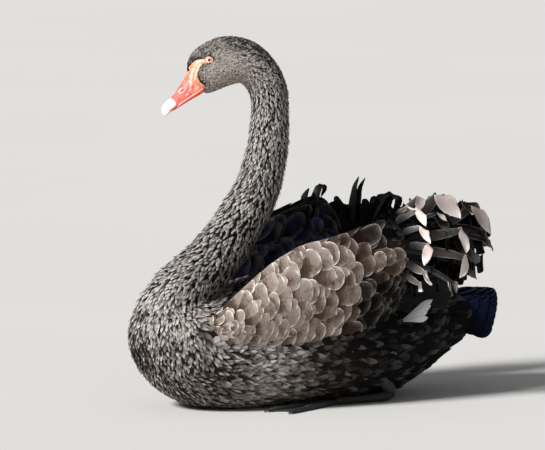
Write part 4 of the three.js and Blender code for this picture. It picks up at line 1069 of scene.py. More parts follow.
class SWAN_OT_coat(bpy.types.Operator):
    """Sets the small feathers of head, neck and body over the skin"""
    bl_idname = "swan.coat"
    bl_label = "Coat"

    def execute(self, context):
        skin, colours = LAID_ON["skin"], context.scene.swan_colours
        middles = skin.places[skin.triangles].mean(1)
        regions = LIE_REGION[nearest_lie(middles)]
        plumage = {
            # Painted sheen: the head's pale colour stands for light on its black velvet.
            "head": feather_material("Velvet head feathers, painted sheen", "#2a2827", colours.head_grey,
                                     roughness=0.6, sheen=0.06, barbs=4, brown=colours.flank_brown),
            # Painted sheen: the neck feathers' pale tips stand for light on black plumage.
            "neck": feather_material("Short black neck feathers, painted sheen", colours.black, colours.grey,
                                     barbs=6, brown=colours.flank_brown, gloss=0.15),
            # Painted light: the pale colour stands for sunlit sheen on the breast's black feathers.
            "body": feather_material("Black body feathers, painted light and shade", colours.black, "#b0a8a1",
                                     roughness=0.65, barbs=9, brown=colours.flank_brown, mottle=0.7,
                                     gloss=0.05, sheen=0.0),
        }
        x, z = middles[:, 0], middles[:, 2]
        neck, body = regions == NECK_REGION, regions == BODY_REGION
        coats = [("coat_head", regions == HEAD_REGION, "head", SMALL_VANE, 0.6),
                 ("coat_neck_upper", neck & (z > NECK_SPLIT), "neck", SMALL_VANE, 0.72),
                 ("coat_neck_lower", neck & (z <= NECK_SPLIT), "neck", SMALL_VANE, 0.72),
                 ("coat_breast", body & (x < BODY_SPLIT), "body", WISP_VANE, 0.6),
                 ("coat_flanks", body & (x >= BODY_SPLIT), "body", WISP_VANE, 0.55)]
        for number, (name, region, look, shape, crowd) in enumerate(coats):
            random = np.random.default_rng(context.scene.swan_sizes.seed + number)
            wanted = np.flatnonzero(region & ~bare(middles) & (z > BELLY_REST))
            roots, normals = skin.scattered(
                wanted, lambda at: LIE_SIZE[nearest_lie(at)][:, 1] * crowd, random)
            roots, normals = roots[~bare(roots)], normals[~bare(roots)]
            heading, size, unwrap = blended_lie(roots)
            tone = self.tones(look, roots, unwrap, size, random)
            grid, up = laid_vanes(skin, roots, normals, size, heading, shape, random)
            piece = vane_object(name, above_floor(grid), up, shape["shares"], unwrap, tone, COAT_VANE)
            finished(piece, plumage[look], "plumage_black", angle=VANE_EDGE)
        return {"FINISHED"}

    def tones(self, look, roots, unwrap, size, random):
        """How light each feather is, mostly painted light and shade. On the neck, light feathers stand up
        between dark furrows: the ridges carry painted sheen, the furrows painted shade, and the neck's
        base is lighter as painted light.

        The breast is light, as painted light, and darker low down, at its front edge and in the shoulder's
        fold, as painted shade, and the flanks behind it are black. The head is light, as painted sheen,
        but for its crown and the borders of the lores, which are darker as painted shade.
        """
        wild = random.standard_normal(len(roots))
        side = np.abs(roots[:, 1])
        # Painted shade in the shoulder's fold, darkest on its line.
        across = roots[:, 0] + SHADE_SLANTS[0] * side
        height = roots[:, 2] + SHADE_SLANTS[1] * roots[:, 0] + SHADE_SLANTS[2] * side
        fold = np.exp(-(distance_to(SHOULDER_SHADE, across, height)[0] / (SHADE_WIDTH * MM)) ** 2)
        if look == "body":
            # Painted light on the breast, and painted shade low down, at its front edge and in the fold.
            rear = smooth((roots[:, 0] + 0.13) / 0.13)
            low = smooth((0.135 - roots[:, 2]) / 0.06) * smooth((-0.1 - roots[:, 0]) / 0.06)
            dark = 0.42 * low + 0.75 * fold + 0.3 * smooth((-0.23 - across) / 0.02)
            return np.clip(mixed(0.7 - dark, 0, rear) + mixed(0.36, 0.09, rear) * wild, 0, 1)
        row = (unwrap[:, 0] - NECK_PATCH[0]) / NECK_PATCH[2] * LAST_ROW
        angle = (unwrap[:, 1] - NECK_PATCH[1]) / NECK_PATCH[3] * 2 * np.pi
        phase = FURROWS * angle
        phase = phase + 2.2 * np.sin(7 * row + 2 * angle) + 1.6 * np.sin(11.3 * row - 5 * angle + 1)
        ridge = (0.5 + 0.5 * np.cos(phase)) ** 0.7
        velvet = smooth((row - HEAD_ROW - 1.2 - 2.2 * (1 + np.sin(angle))) / 2.4)
        size[:, 2] *= mixed(0.4 + ridge, 1, velvet)
        # Painted sheen on the ridges, painted shade in the furrows, and painted light at the neck's base.
        base = 0.42 * smooth((5 - row) / 4)
        tone = mixed(1.5 * ridge - 0.56 + base + 0.18 * wild, 0.84 + 0.26 * wild, velvet)
        # Painted shade on the head's crown, and in the shoulder's fold.
        tone -= 0.5 * smooth((np.sin(angle) - 0.1) / 0.7) * smooth((row - HEAD_ROW) / 3) + 0.6 * fold
        # Painted shade: dark lines along the borders of the lores, where the feathers meet the bare skin.
        forward, _ = to_head_plane(roots)
        for line, reach in ((LORE_FRONT[:6], 3.5), (LORE_BACK, 5)):
            near = distance_to(line, forward, roots[:, 2])[0] / (reach * MM)
            tone -= 0.42 * np.exp(-near ** 2) * (look == "head")
        return np.clip(tone, 0, 1)


def round_profile(count, root, fullest, blunt):
    """Shares of a vane's length and its widths there, with a rounded tip."""
    tip = fullest + (1 - fullest) * np.sin(np.linspace(0, np.pi / 2, count))
    shares = np.concatenate([np.linspace(0, fullest, 4)[:-1], tip])
    rise = root + (1 - root) * np.sin(np.pi / 2 * np.clip(shares / fullest, 0, 1))
    fall = np.sqrt(np.clip(1 - np.clip((shares - fullest) / (1 - fullest), 0, 1) ** blunt, 0, 1))
    return shares, np.maximum(rise * fall, 0.06)


def wing_sheet(x, t, side, inner):
    """A place on a face of a wing and its outward normal, carried straight on past the edges."""
    near_x = np.clip(x, -0.19, 0.114)
    near_t = np.clip(t, 0.1, 0.9) if inner else np.clip(t, 0.02, 0.98)

    def at(x, t):
        return wing_at(x, 2 - t if inner else t, side)
    step = 2 * MM
    along = (at(near_x + step, near_t) - at(near_x - step, near_t)) / (2 * step)
    up = (at(near_x, near_t + 0.02) - at(near_x, near_t - 0.02)) / 0.04
    place = at(near_x, near_t) + along * (x - near_x)[..., None] + up * (t - near_t)[..., None]
    normal = unit(np.cross(along, up)) * (-SIDES[side]) * (-1 if inner else 1)
    return place, normal


def wing_feathers(name, side, inner, random):
    """Rows of rounded feathers over one face of a wing."""
    columns_at, rows_at = [], []
    (x, last), column = COVERT_ENDS, 0
    while x < last:
        exposed, pitch = covert_size(x)[:2] * (1.25 if inner else 1)
        low, ridge = wing_rows(x)[:2]
        count = max(2, round(float((ridge - low) / pitch)))
        rows_at.append((np.arange(count) + (0.3 if column % 2 else 0.8)) / count)
        columns_at.append(np.full(count, x))
        x, column = x + exposed, column + 1
    x, t = np.concatenate(columns_at), np.concatenate(rows_at)
    jitter = random.standard_normal((3, len(x)))
    x = x + 2.3 * MM * jitter[0]
    size = covert_size(x) * (1.2 if inner else 1)
    low, ridge = columns(wing_rows(x))[:2]
    height = (ridge - low)[:, None, None]
    slope = np.arctan2(wing_rows(x + 5 * MM)[:, 1] - wing_rows(x - 5 * MM)[:, 1], 10 * MM)
    angle = (np.radians(-14 + 12 * t + 10 * jitter[1]) + 0.7 * slope * t ** 4)[:, None, None]
    shares, widths = round_profile(7, 0.5, 0.62, 2.2)
    lane = np.linspace(-1, 1, 7)
    length = (size[:, 2] * (1 + 0.13 * jitter[2].clip(-2, 2)))[:, None, None]
    ahead = length * shares[:, None] + 0 * lane
    side_step = size[:, 3][:, None, None] / 2 * widths[:, None] * lane
    if (side == "right") != inner:
        side_step = -side_step
    up = t[:, None, None] + (ahead * np.sin(angle) + side_step * np.cos(angle)) / height
    room = 1 - RIDGE_SOFT
    up = np.where(up > RIDGE_SOFT, RIDGE_SOFT + room * np.tanh((up - RIDGE_SOFT) / room), up)
    up = up * (0.97 if inner else 1)
    rearward = x[:, None, None] + ahead * np.cos(angle) - side_step * np.sin(angle)
    place, normal = wing_sheet(rearward, up, side, inner)
    thick = (size[:, 3] * 0.048 * (1 + 0.35 * jitter[0].clip(-2, 2)))[:, None, None]
    camber = 0.02 * size[:, 3][:, None, None] * (1 - lane ** 2)
    rise = thick * (-0.25 + 1.15 * shares[:, None] ** 0.8) + camber
    grid = place + normal * rise[..., None]
    spread = on_patch(WING_PATCH[side], (x - WING_ENDS[0]) / (WING_ENDS[1] - WING_ENDS[0]),
                      (2 - t if inner else t) / 2)
    level = low + (ridge - low) * t
    # Painted shade: darker towards the wing's rear and near black low at the rear. Darker at the top rear
    # as well.
    rear = smooth((x + 0.06) / 0.1)
    tone = 0.9 - 0.36 * rear - 0.9 * smooth((x + 0.05) / 0.07) * smooth((0.205 - level) / 0.05)
    tone = tone - 0.52 * smooth((x + 0.07) / 0.06) * smooth((t - 0.6) / 0.25)
    tone = np.clip(tone + 0.11 * random.standard_normal(len(x)), 0, 1)
    return vane_object(name, grid, normal, shares, spread, tone, WING_VANE)


def free_vanes(name, root, ahead, face, length, width, fold, profile, cols, unwrap, tone, camber=0.2,
               bow=0.0, crimp=0.0, sweep=0.0, swing=0.0, pale=1.0):
    """Feathers in the air, flat vanes that are rolled over a slanting line as a page is turned.

    fold gives for each feather its place along the shaft, slant, radius and turn, profile the
    shares of its length and its widths there. camber bends the vane across, bow along, and crimp is
    the height of the waves in its margins. sweep is how far the root lies to the side of the line
    that the blade follows at the fold, swing how much the leaf beyond the fold curves to a side,
    and pale how much painted light the folded leaf has.
    """
    shares, widths = (np.atleast_2d(row)[..., None] for row in profile)
    ahead = unit(ahead)
    face = unit(face - ahead * (face * ahead).sum(-1, keepdims=True))
    across = np.cross(face, ahead)

    def each(value):
        return np.broadcast_to(value, len(root))[:, None, None]
    at, slant, radius, turn = map(each, fold)
    lane = np.linspace(-1, 1, cols)
    p = each(length) * shares + 0 * lane
    w = each(width) / 2 * widths * lane + each(swing) * np.maximum(p - at, 0) ** 2
    beyond = (p - at) * np.cos(slant) + w * np.sin(slant)
    rolled = np.clip(beyond / radius, 0, turn)
    rest = np.maximum(beyond - radius * turn, 0)
    kept = np.where(beyond > 0, radius * np.sin(rolled) + rest * np.cos(rolled), beyond)
    lift = radius * (1 - np.cos(rolled)) + rest * np.sin(rolled)
    side_on = w + (kept - beyond) * np.sin(slant) + each(sweep) * np.clip(1 - p / at, 0, 1) ** 2
    p = p + (kept - beyond) * np.cos(slant)
    waves = np.sin(shares * 26 + 40 * np.sin(9 * each(length) / MM)) * lane ** 2
    ripple = -camber * each(width) / 2 * lane ** 2 * widths + crimp * waves
    ahead, face, across = (axis[:, None, None, :] for axis in (ahead, face, across))
    fold_way = ahead * np.cos(slant)[..., None] + across * np.sin(slant)[..., None]
    normal = face * np.cos(rolled)[..., None] - fold_way * np.sin(rolled)[..., None]
    bowed = bow * each(length) * (1 - np.clip(1 - p / at, 0, 1) ** 2)
    grid = (root[:, None, None, :] + ahead * p[..., None] + across * side_on[..., None]
            + face * (lift + bowed)[..., None] + normal * ripple[..., None])
    # Painted light on the leaf past the fold, as much as pale gives.
    folded = smooth((rolled - 1.3) / 1.0) * each(pale)
    return vane_object(name, grid, normal, shares[..., 0], unwrap, tone, FREE_VANE, folded)


class SWAN_OT_wings(bpy.types.Operator):
    """Lays the rows of feathers over the outer and inner faces of both wings"""
    bl_idname = "swan.wings"
    bl_label = "Wings"

    def execute(self, context):
        colours = context.scene.swan_colours
        # Painted shade: the tone takes the coverts to their near-black end at the wing's rear.
        brown = feather_material("Brown wing coverts", "#080606", "#8d8077", colours.covert_edge, 1.9, 28,
                                 middle=colours.covert_brown, roughness=0.55, barbs=15, depth=2.0,
                                 gloss=0.04, sheen=0.0, patchy=0.3)
        # Painted shade and reflection: the wing's inner face is near black, with a blue sky reflection
        # painted in.
        dark = feather_material("Black scapulars, painted shade and blue reflection", "#020307", "#28365e", "#857c78", 2.0, 32,
                                roughness=0.42, barbs=10, mottle=0.95, patchy=0.95)
        for side in SIDES:
            random = np.random.default_rng(context.scene.swan_sizes.seed + 20)
            outer = wing_feathers(f"coverts_{side}", side, False, random)
            finished(outer, brown, "plumage_brown", f"wing_{side}", angle=VANE_EDGE)
            inner = wing_feathers(f"scapulars_{side}", side, True, random)
            finished(inner, dark, "plumage_black", angle=VANE_EDGE)
        return {"FINISHED"}


def leaf_profile(at, length, width, arc, slant):
    """Shares of curled feathers' lengths, close together round the fold, and their widths there.

    A narrow blade runs up to the fold, and a broad pointed leaf hangs from it.
    """
    tilt = np.abs(np.tan(slant))
    start, end = at - 0.3 * width * tilt, at + arc / np.cos(slant) + 0.4 * width * tilt
    start, end = np.maximum(start, 0.5 * at) / length, np.minimum(end / length, 0.93)
    start, end = start[:, None], end[:, None]
    shares = np.concatenate([start * [0, 0.3, 0.6, 0.85], mixed(start, end, np.linspace(0, 1, 10)),
                             mixed(end, 1, np.array([0.25, 0.5, 0.7, 0.85, 0.95, 1]))], axis=1)
    fold = (at / length)[:, None]
    up_to = np.clip(shares / fold, 0, 1)
    past = np.clip((shares - fold) / (1 - fold), 0, 1)
    blade = 0.4 + 0.02 * up_to + 0.4 * np.sin(np.pi * up_to)
    leaf = np.where(past < 0.4, 0.42 + 0.58 * np.sin(past / 0.4 * np.pi / 2),
                    np.clip(1 - ((past - 0.4) / 0.6) ** 2.3, 0, 1) ** 0.9)
    return shares, np.maximum(np.where(past > 0, leaf, blade), 0.05)


def outward(side, *values):
    """A direction given for the right side, mirrored for the left."""
    return np.array(values, float) * [1, SIDES[side], 1]


class SWAN_OT_ruff(bpy.types.Operator):
    """Fans out the curled feathers behind each wing and sets hooked ones on the ridge"""
    bl_idname = "swan.ruff"
    bl_label = "Ruff"

    def execute(self, context):
        colours, sizes = context.scene.swan_colours, context.scene.swan_sizes
        # Painted light and shade: the near blades' light and their leaves' pale stand for sunlight, and
        # the blades behind are dark as painted shade.
        curled = feather_material("Curled tertials, painted sunlit leaves", "#040406", "#8d8580", "#cfc5bd", 2.2, 24,
                                  under=colours.curl_pale, roughness=0.45, barbs=20, root=0.0)
        # Painted shade: the feathers behind the curled ones and the far wing's hooks are darker than the
        # plumage's black.
        black = feather_material("Black tertials in painted shade", "#020203", "#07080c", under="#0b0a0b", barbs=30,
                                 gloss=0.12, sheen=0.0)
        for side in SIDES:
            random = np.random.default_rng(sizes.seed + 30)
            rows = np.array([row for row in RUFF if side == "left" or row[1] < FAR_HEIGHT], float)
            x, z, y, angle, leaf, hang, width, tone, pale = rows.T
            self.fan(f"ruff_{side}", side, curled, (x * MM, z * MM), y * MM, np.radians(angle), leaf * MM,
                     np.radians(hang), width * MM, random, sizes.crimp, tone, pale, RUFF_BEND)
            share, y, width, leaf, angle = np.array(
                [(*row[:4], angle) for row in RUFF_BACK for angle in row[4]
                 if side == "left" or row[0] < FAR_SHARE or angle < FAR_ANGLE], float).T
            angle = np.radians(angle + 2.5 * random.standard_normal(len(angle)))
            uneven = 1 + 0.04 * random.standard_normal(len(angle))
            reach = columns(ruff_reach(angle))[0] * share * uneven
            centre_x, centre_z = (value * MM for value in RUFF_CENTRE)
            fold = (centre_x + reach * np.cos(angle), centre_z + reach * np.sin(angle))
            self.fan(f"ruff_back_{side}", side, black, fold, y * MM, angle, leaf * MM,
                     angle * 0.4 - 1.2, width * MM, random, sizes.crimp, random.random(len(angle)), 0.0,
                     RUFF_BACK_BEND)
        self.hooks(black)
        return {"FINISHED"}

    def fan(self, name, side, material, fold, y, angle, leaf, hang, width, random, crimp, tone, pale,
            bend):
        """Feathers of the ruff from their folds, the angles of their blades and those of their leaves.

        bend is how much of the slant that the leaf's angle asks for the fold has. Where it is large,
        the leaf curves back to that angle, and the blade's face turns up a little.
        """
        count = len(y)
        large = bend > 0.5
        wild = random.standard_normal((5, count))
        centre = np.array(RUFF_CENTRE)[:, None] * MM
        fold = np.stack(fold) - centre
        outward_angle = np.arctan2(fold[1], fold[0])
        root = RUFF_ROOT * MM * (1 + 0.1 * wild[0]) * np.stack([np.cos(0.85 * outward_angle),
                                                              np.sin(0.85 * outward_angle)])
        sign, turn = -SIDES[side], RUFF_TURN[side]
        spin = np.array([[np.cos(turn), np.sin(turn)], [-np.sin(turn), np.cos(turn)]])
        fold, root, angle, hang = spin @ fold + centre, spin @ root + centre, angle - turn, hang - turn
        way = np.stack([np.cos(angle), np.sin(angle)])
        chord = fold - root
        at = (chord * way).sum(0)
        aside = way[1] * chord[0] - way[0] * chord[1]
        radius = (1.6 + 0.09 * width / MM) * MM * (1 + 0.12 * wild[1])
        wanted = np.clip((hang + np.pi - angle) / 2 + 0.05 * wild[2], -1, 1.05)
        slant = bend * wanted
        spare = 2 * (slant - wanted) * large
        start = fold - way * at
        low, ridge = columns(wing_rows(root[0]))[:2]
        base = wing_sheet(root[0], np.clip((root[1] - low) / (ridge - low), 0.08, 0.92), side, False)[0]
        depth = np.abs(base[:, 1]) - 5 * MM
        lean = (y - depth) / at
        span = np.hypot(at, y - depth)
        ahead = np.stack([way[0], SIDES[side] * lean, way[1]], -1)
        face = np.tile(outward(side, -0.1, 1, 0.14 * large), (count, 1))
        face = face + 0.1 * wild[3][:, None] * [0, 0, 1]
        places = np.stack([start[0], SIDES[side] * depth, start[1]], -1)
        turned = np.radians(FOLD_TURN + 6 * wild[4])
        unwrap = on_patch(WING_PATCH[side], 0.75 + 0.2 * np.linspace(0, 1, count), np.full(count, 0.35))
        leaf = leaf * np.cos(spare)
        length = span + radius * turned / 2 + leaf
        profile = leaf_profile(span - radius, length, width, radius * turned, slant)
        swing = np.tan(spare) / leaf
        piece = free_vanes(name, places, ahead, face, length, width,
                           (span - radius, slant * sign, radius, turned), profile, 9, unwrap, tone,
                           camber=0.16, bow=0.02, crimp=crimp, sweep=aside * sign, swing=swing * sign,
                           pale=pale)
        finished(piece, material, "plumage_black", angle=VANE_EDGE)

    def hooks(self, material):
        """Feathers that stand up from the far wing's ridge, each a spike that curls at its end."""
        count = len(HOOKS)
        x, z, width, lean, radius, turn = np.array(HOOKS, float).T
        x, z, width, radius = (values * MM for values in (x, z, width, radius))
        lean, turn = np.radians(lean), np.radians(turn)
        ahead = np.stack([np.sin(lean), 0 * lean, np.cos(lean)], -1)
        face = np.tile([1.0, 0.35, 0.0], (count, 1))
        at = np.full(count, HOOK["blade"] * MM)
        start = np.stack([x, np.full(count, HOOK["y"] * MM), z], -1) - ahead * (at + radius)[:, None]
        unwrap = np.tile(on_patch(WING_PATCH["right"], 0.8, 0.45), (count, 1))
        length = at + radius * turn + HOOK["tip"] * MM
        piece = free_vanes("hooks_right", start, ahead, face, length, width, (at, -0.1, radius, turn),
                           SPIKE, 7, unwrap, np.linspace(0, 1, count))
        finished(piece, material, "plumage_black", angle=VANE_EDGE)


class SWAN_OT_flight(bpy.types.Operator):
    """Lays the dark secondaries and the white primaries below the ruff"""
    bl_idname = "swan.flight"
    bl_label = "Flight feathers"

    def execute(self, context):
        # Painted shade: the secondaries are near black for the shade below the ruff.
        dark = feather_material("Black secondaries in painted shade", "#030305", "#0a0b10", barbs=60, gloss=0.15)
        white = feather_material("White primaries", "#8f9094", context.scene.swan_colours.white,
                                 roughness=0.6, barbs=20)
        for side in SIDES:
            for name, plan, profile, look, slot, nodes in (
                    ("secondaries", SECONDARIES, BLADE, dark, "plumage_black", ()),
                    ("primaries", PRIMARIES, DART, white, "plumage_white", (f"wing_{side}_primaries",))):
                random = np.random.default_rng(context.scene.swan_sizes.seed + 40)
                k = np.linspace(0, 1, plan["count"])[:, None]
                start, end = (mixed(np.array(a, float), np.array(b, float), k) * MM
                              for a, b in (plan["from"], plan["to"]))
                wild = random.standard_normal((plan["count"], 3)) * 1.5 * MM
                start, end = start * [1, SIDES[side], 1], (end + wild) * [1, SIDES[side], 1]
                face = np.tile(outward(side, 0.05, 1, 0.3), (plan["count"], 1))
                length = np.linalg.norm(end - start, axis=1)
                unwrap = np.tile(on_patch(WING_PATCH[side], 0.9, 0.2), (plan["count"], 1))
                piece = free_vanes(f"{name}_{side}", start, end - start, face, length, plan["width"] * MM,
                                   (length, 0, 1, 0), profile, 7, unwrap, random.random(plan["count"]),
                                   camber=0.14, bow=-0.02)
                finished(piece, look, slot, *nodes, angle=VANE_EDGE)
        return {"FINISHED"}


class SWAN_OT_tail(bpy.types.Operator):
    """Fans out the tail feathers under two rows of coverts"""
    bl_idname = "swan.tail"
    bl_label = "Tail"

    def execute(self, context):
        sizes = context.scene.swan_sizes
        # Painted shade and reflection: the tail is near black, with blue painted in as a sky reflection.
        dark = feather_material("Black tail feathers, painted shade and blue reflection", "#010208", "#070e26", roughness=0.45,
                                barbs=50, gloss=0.1)
        random = np.random.default_rng(sizes.seed + 50)
        starts, ends, faces, widths = [], [], [], []
        rows = [(sizes.rectrices, 0, 0, 1, TAIL["width"]), *TAIL_COVERTS]
        for count, forward, rise, share, width in rows:
            s = np.linspace(-1, 1, count)
            drop = np.abs(s) ** TAIL["arch"]
            starts.append(np.stack([TAIL["root"][0] - forward + 0 * s, share * TAIL["root_spread"] * s,
                                    TAIL["root"][1] + rise - TAIL["root_droop"] * drop * share], -1))
            ends.append(np.stack([TAIL["tip"][0] - 0.9 * forward - TAIL["sweep"] * s * s,
                                  share * TAIL["tip_spread"] * s,
                                  TAIL["tip"][1] + rise - TAIL["tip_droop"] * drop * share], -1))
            slope = TAIL["tip_droop"] * TAIL["arch"] * np.abs(s) ** (TAIL["arch"] - 1)
            roll = np.arctan(slope / TAIL["tip_spread"]) - TAIL["tile"]
            faces.append(np.stack([0 * s, np.sign(s) * np.sin(roll), np.cos(roll)], -1))
            widths.append(np.full(count, width))
        starts, ends, faces = (np.concatenate(parts) for parts in (starts, ends, faces))
        starts, ends = starts * MM, ends * MM
        length = np.linalg.norm(ends - starts, axis=1)
        unwrap = on_patch(BODY_PATCH, np.full(len(starts), 0.99), np.linspace(0.1, 0.4, len(starts)))
        piece = free_vanes("rectrices", starts, ends - starts, faces, length, np.concatenate(widths) * MM,
                           (length, 0, 1, 0), BLADE, 7, unwrap, random.random(len(starts)), camber=0.03,
                           bow=0.015)
        finished(piece, dark, "plumage_black", "tail", angle=VANE_EDGE)
        return {"FINISHED"}


def bill_ring(values, above, below, angle):
    """A section of the bill, rounder above or below the higher those powers are."""
    top_a, top_z, edge_a, edge_z, half = values
    up = np.sin(angle)
    up = np.sign(up) * np.abs(up) ** np.where(up < 0, below, above)
    return in_head_plane((top_a + edge_a) / 2 + (top_a - edge_a) / 2 * up, half * np.cos(angle),
                         (top_z + edge_z) / 2 + (top_z - edge_z) / 2 * up)


def bill_marks(piece, red=0.0):
    """Raises the creases and sinks the nostrils of a piece of bill or lore, and marks them, the creases
    for a painted highlight.

    red is how far the piece has the deeper red of the nostrils' slits all over.
    """
    places, normals = mesh_places(piece)
    forward, left = to_head_plane(places)
    height = places[:, 2]
    crease = np.zeros(len(places))
    # Painted highlight: a pale line along each of the creases.
    for line in CREASES:
        off, along = distance_to(line, forward, height)
        wide = (0.9 + 0.6 * np.sin(np.pi * along)) * MM
        ends = smooth(along / 0.05) * smooth((1 - along) / 0.05)
        crease = np.maximum(crease, np.exp(-(off / wide) ** 2) * ends)
    edge = np.exp(-(distance_to(CUTTING_EDGE, forward, height)[0] / (0.7 * MM)) ** 2)
    gape = np.exp(-(distance_to(GAPE_LINE, forward, height)[0] / (0.6 * MM)) ** 2)
    edge = np.maximum(edge, 0.6 * gape)
    tilt = math.radians(NOSTRIL["tilt"])
    f, z = forward - NOSTRIL["forward"] * MM, height - NOSTRIL["height"] * MM
    long, wide = f * math.cos(tilt) + z * math.sin(tilt), z * math.cos(tilt) - f * math.sin(tilt)
    slit = np.hypot(long / (NOSTRIL["half"][0] * MM), wide / (NOSTRIL["half"][1] * MM))
    rim_off = np.hypot((long - 0.4 * MM) / (NOSTRIL["rim"][0] * MM), wide / (NOSTRIL["rim"][1] * MM))
    outer = np.abs(left) > 5 * MM
    rim = np.exp(-((rim_off - 0.85) / 0.22) ** 2) * outer
    sunk = smooth((1.55 - slit) / 0.6) * outer
    rise = 0.4 * crease + 0.3 * rim * (1 - sunk) - NOSTRIL["depth"] * sunk
    placed(piece, places + normals * (rise * MM)[:, None])
    eyeward = np.maximum(smooth((height - 0.456) / 0.03), smooth((0.112 - forward) / 0.016))
    return painted(piece, crease=crease, rim=rim * (1 - sunk), slit=np.maximum(sunk, red), edge=edge,
                   eyeward=eyeward * (1 - red))


class SWAN_OT_bill(bpy.types.Operator):
    """Draws out the upper bill, its nail and the lower bill, with nostrils and a cutting edge"""
    bl_idname = "swan.bill"
    bl_label = "Bill"

    def execute(self, context):
        colours = context.scene.swan_colours
        angle = np.linspace(0, 2 * np.pi, 41)[:-1]
        upper_rows, lower_rows = (
            through_rows([(i, *[v * MM for v in row]) for i, row in enumerate(table)], 1)
            for table in (UPPER_BILL, LOWER_BILL))
        upper = drawn_out("bill_upper", [bill_ring(upper_rows(row), 1, 0.12, angle)
                                         for row in np.linspace(0, NAIL_ROW + 0.5, 46)])
        nail = drawn_out("bill_nail", [bill_ring(upper_rows(row), 1, 0.12, angle)
                                       for row in np.linspace(NAIL_ROW, len(UPPER_BILL) - 1, 30)])
        lower = drawn_out("bill_lower", [bill_ring(lower_rows(row), 0.12, 0.8, angle)
                                         for row in np.linspace(0, len(LOWER_BILL) - 1, 36)])
        horn = bill_material(colours)
        for piece, node, red in ((upper, "bill_upper", 0.0), (lower, "bill_lower", 0.85)):
            modified(piece, "SUBSURF", levels=1)
            finished(bill_marks(piece, red), horn, "bill_red", node)
        modified(nail, "SUBSURF", levels=1)
        places, normals = mesh_places(nail)
        rise = 0.35 * MM * smooth(((places - places[0]) @ unit(places[-1] - places[0])) / (2 * MM))
        placed(nail, places + normals * rise[:, None])
        border = np.interp(to_head_plane(places)[0], *(np.array(NAIL_BORDER).T * MM))
        painted(nail, red=smooth((border - places[:, 2]) / (0.8 * MM) + 0.5))
        finished(nail, nail_material(colours), "bill_white", "bill_nail")
        LAID_ON["bill"] = Skin(upper)
        return {"FINISHED"}


def out_of_head(forward, height, side):
    """The direction from the head's middle plane to a side."""
    return in_head_plane(forward, -SIDES[side], height) - in_head_plane(forward, 0, height)


def cast_at_head(forward, height, side, trees):
    """Where the line through a place of the head's middle plane meets the head's side, and the normal."""
    start = in_head_plane(forward, -SIDES[side] * 60 * MM, height)
    way = unit(in_head_plane(forward, 0 * forward, height) - start)
    found, normals = [], []
    for origin, direction in zip(start, way):
        hits = [hit for hit in (tree.ray_cast(origin, direction) for tree in trees) if hit[0]]
        hits = hits or [tree.find_nearest(origin + direction * 50 * MM) for tree in trees]
        hit = min(hits, key=lambda one: one[3])
        found.append(hit[0])
        normals.append(hit[1])
    return np.array(found), np.array(normals)


class SWAN_OT_face(bpy.types.Operator):
    """Lays the bare skin of the lores between bill and eyes, and the rings of the eyelids"""
    bl_idname = "swan.face"
    bl_label = "Lores and eyelids"

    def execute(self, context):
        horn = bill_material(context.scene.swan_colours)
        front, back = (through_rows([(i, a * MM, z * MM) for i, (a, z) in enumerate(line)], 1)
                       for line in (LORE_FRONT, LORE_BACK))
        long, wide = 56, 20
        trees = [LAID_ON["skin"].tree, LAID_ON["bill"].tree]
        for side in SIDES:
            u = np.linspace(0, len(LORE_FRONT) - 1, long)[:, None, None]
            v = np.linspace(0, 1, wide)[None, :, None]
            plane = mixed(front(u[..., 0]), back(u[..., 0]), v).reshape(-1, 2)
            spots, _ = cast_at_head(plane[:, 0], plane[:, 1], side, trees)
            grid = spots.reshape(long, wide, 3)
            for _ in range(12):
                around = grid[:-2, 1:-1] + grid[2:, 1:-1] + grid[1:-1, :-2] + grid[1:-1, 2:]
                grid[1:-1, 1:-1] = around / 4
            deselect_all()
            bpy.ops.mesh.primitive_grid_add(x_subdivisions=long - 1, y_subdivisions=wide - 1, size=1)
            piece = context.active_object
            piece.name = piece.data.name = f"lore_{side}"
            flat = mesh_places(piece)[0]
            row = np.rint((flat[:, 0] + 0.5) * (long - 1)).astype(int)
            column = np.rint((flat[:, 1] + 0.5) * (wide - 1)).astype(int)
            placed(piece, grid[row, column])
            bpy.ops.object.mode_set(mode="EDIT")
            bpy.ops.mesh.select_all(action="SELECT")
            bpy.ops.mesh.normals_make_consistent(inside=False)
            bpy.ops.object.mode_set(mode="OBJECT")
            places, normals = mesh_places(piece)
            if (normals @ out_of_head(0.09, 0.47, side)).mean() < 0:
                piece.data.flip_normals()
                normals = -normals
            off = np.minimum(column, wide - 1 - column) / (wide - 1) * 2
            merged = smooth((row / (long - 1) - 0.6) / 0.1) * (column < wide / 2)
            bulge = (mixed(0.15, -0.4, merged) + 0.75 * np.sqrt(np.clip(off, 0, 1))) * MM
            placed(piece, places + normals * bulge[:, None])
            modified(piece, "SOLIDIFY", thickness=1.6 * MM, offset=-1.0)
            modified(piece, "SUBSURF", levels=1)
            bill_marks(piece)
            finished(piece, horn, "bill_red")
            self.eyelid(side, trees)
        return {"FINISHED"}

    def eyelid(self, side, trees):
        """A beaded ring round an eye, drawn out to a corner at front and rear."""
        centre, outer = eye_axis(side, trees)
        deselect_all()
        long, high = EYE["ring"]
        bpy.ops.mesh.primitive_torus_add(major_segments=64, minor_segments=16, major_radius=long * MM,
                                         minor_radius=EYE["ring_thick"] * MM)
        piece = bpy.context.active_object
        piece.name = piece.data.name = f"eyelid_{side}"
        places = mesh_places(piece)[0]
        around = np.arctan2(places[:, 1], places[:, 0])
        corner = 1 + 0.07 * np.cos(around) ** 8
        notch = 1 + 0.05 * np.sin(23 * around)
        places = places * np.stack([corner, corner * high / long, 0.9 * notch], -1)
        places[:, 2] += 0.5 * MM * np.sin(around) ** 2
        basis = eye_basis(outer)
        placed(piece, centre + outer * 0.35 * MM + places @ basis)
        finished(piece, eyelid_material(), "bill_red")


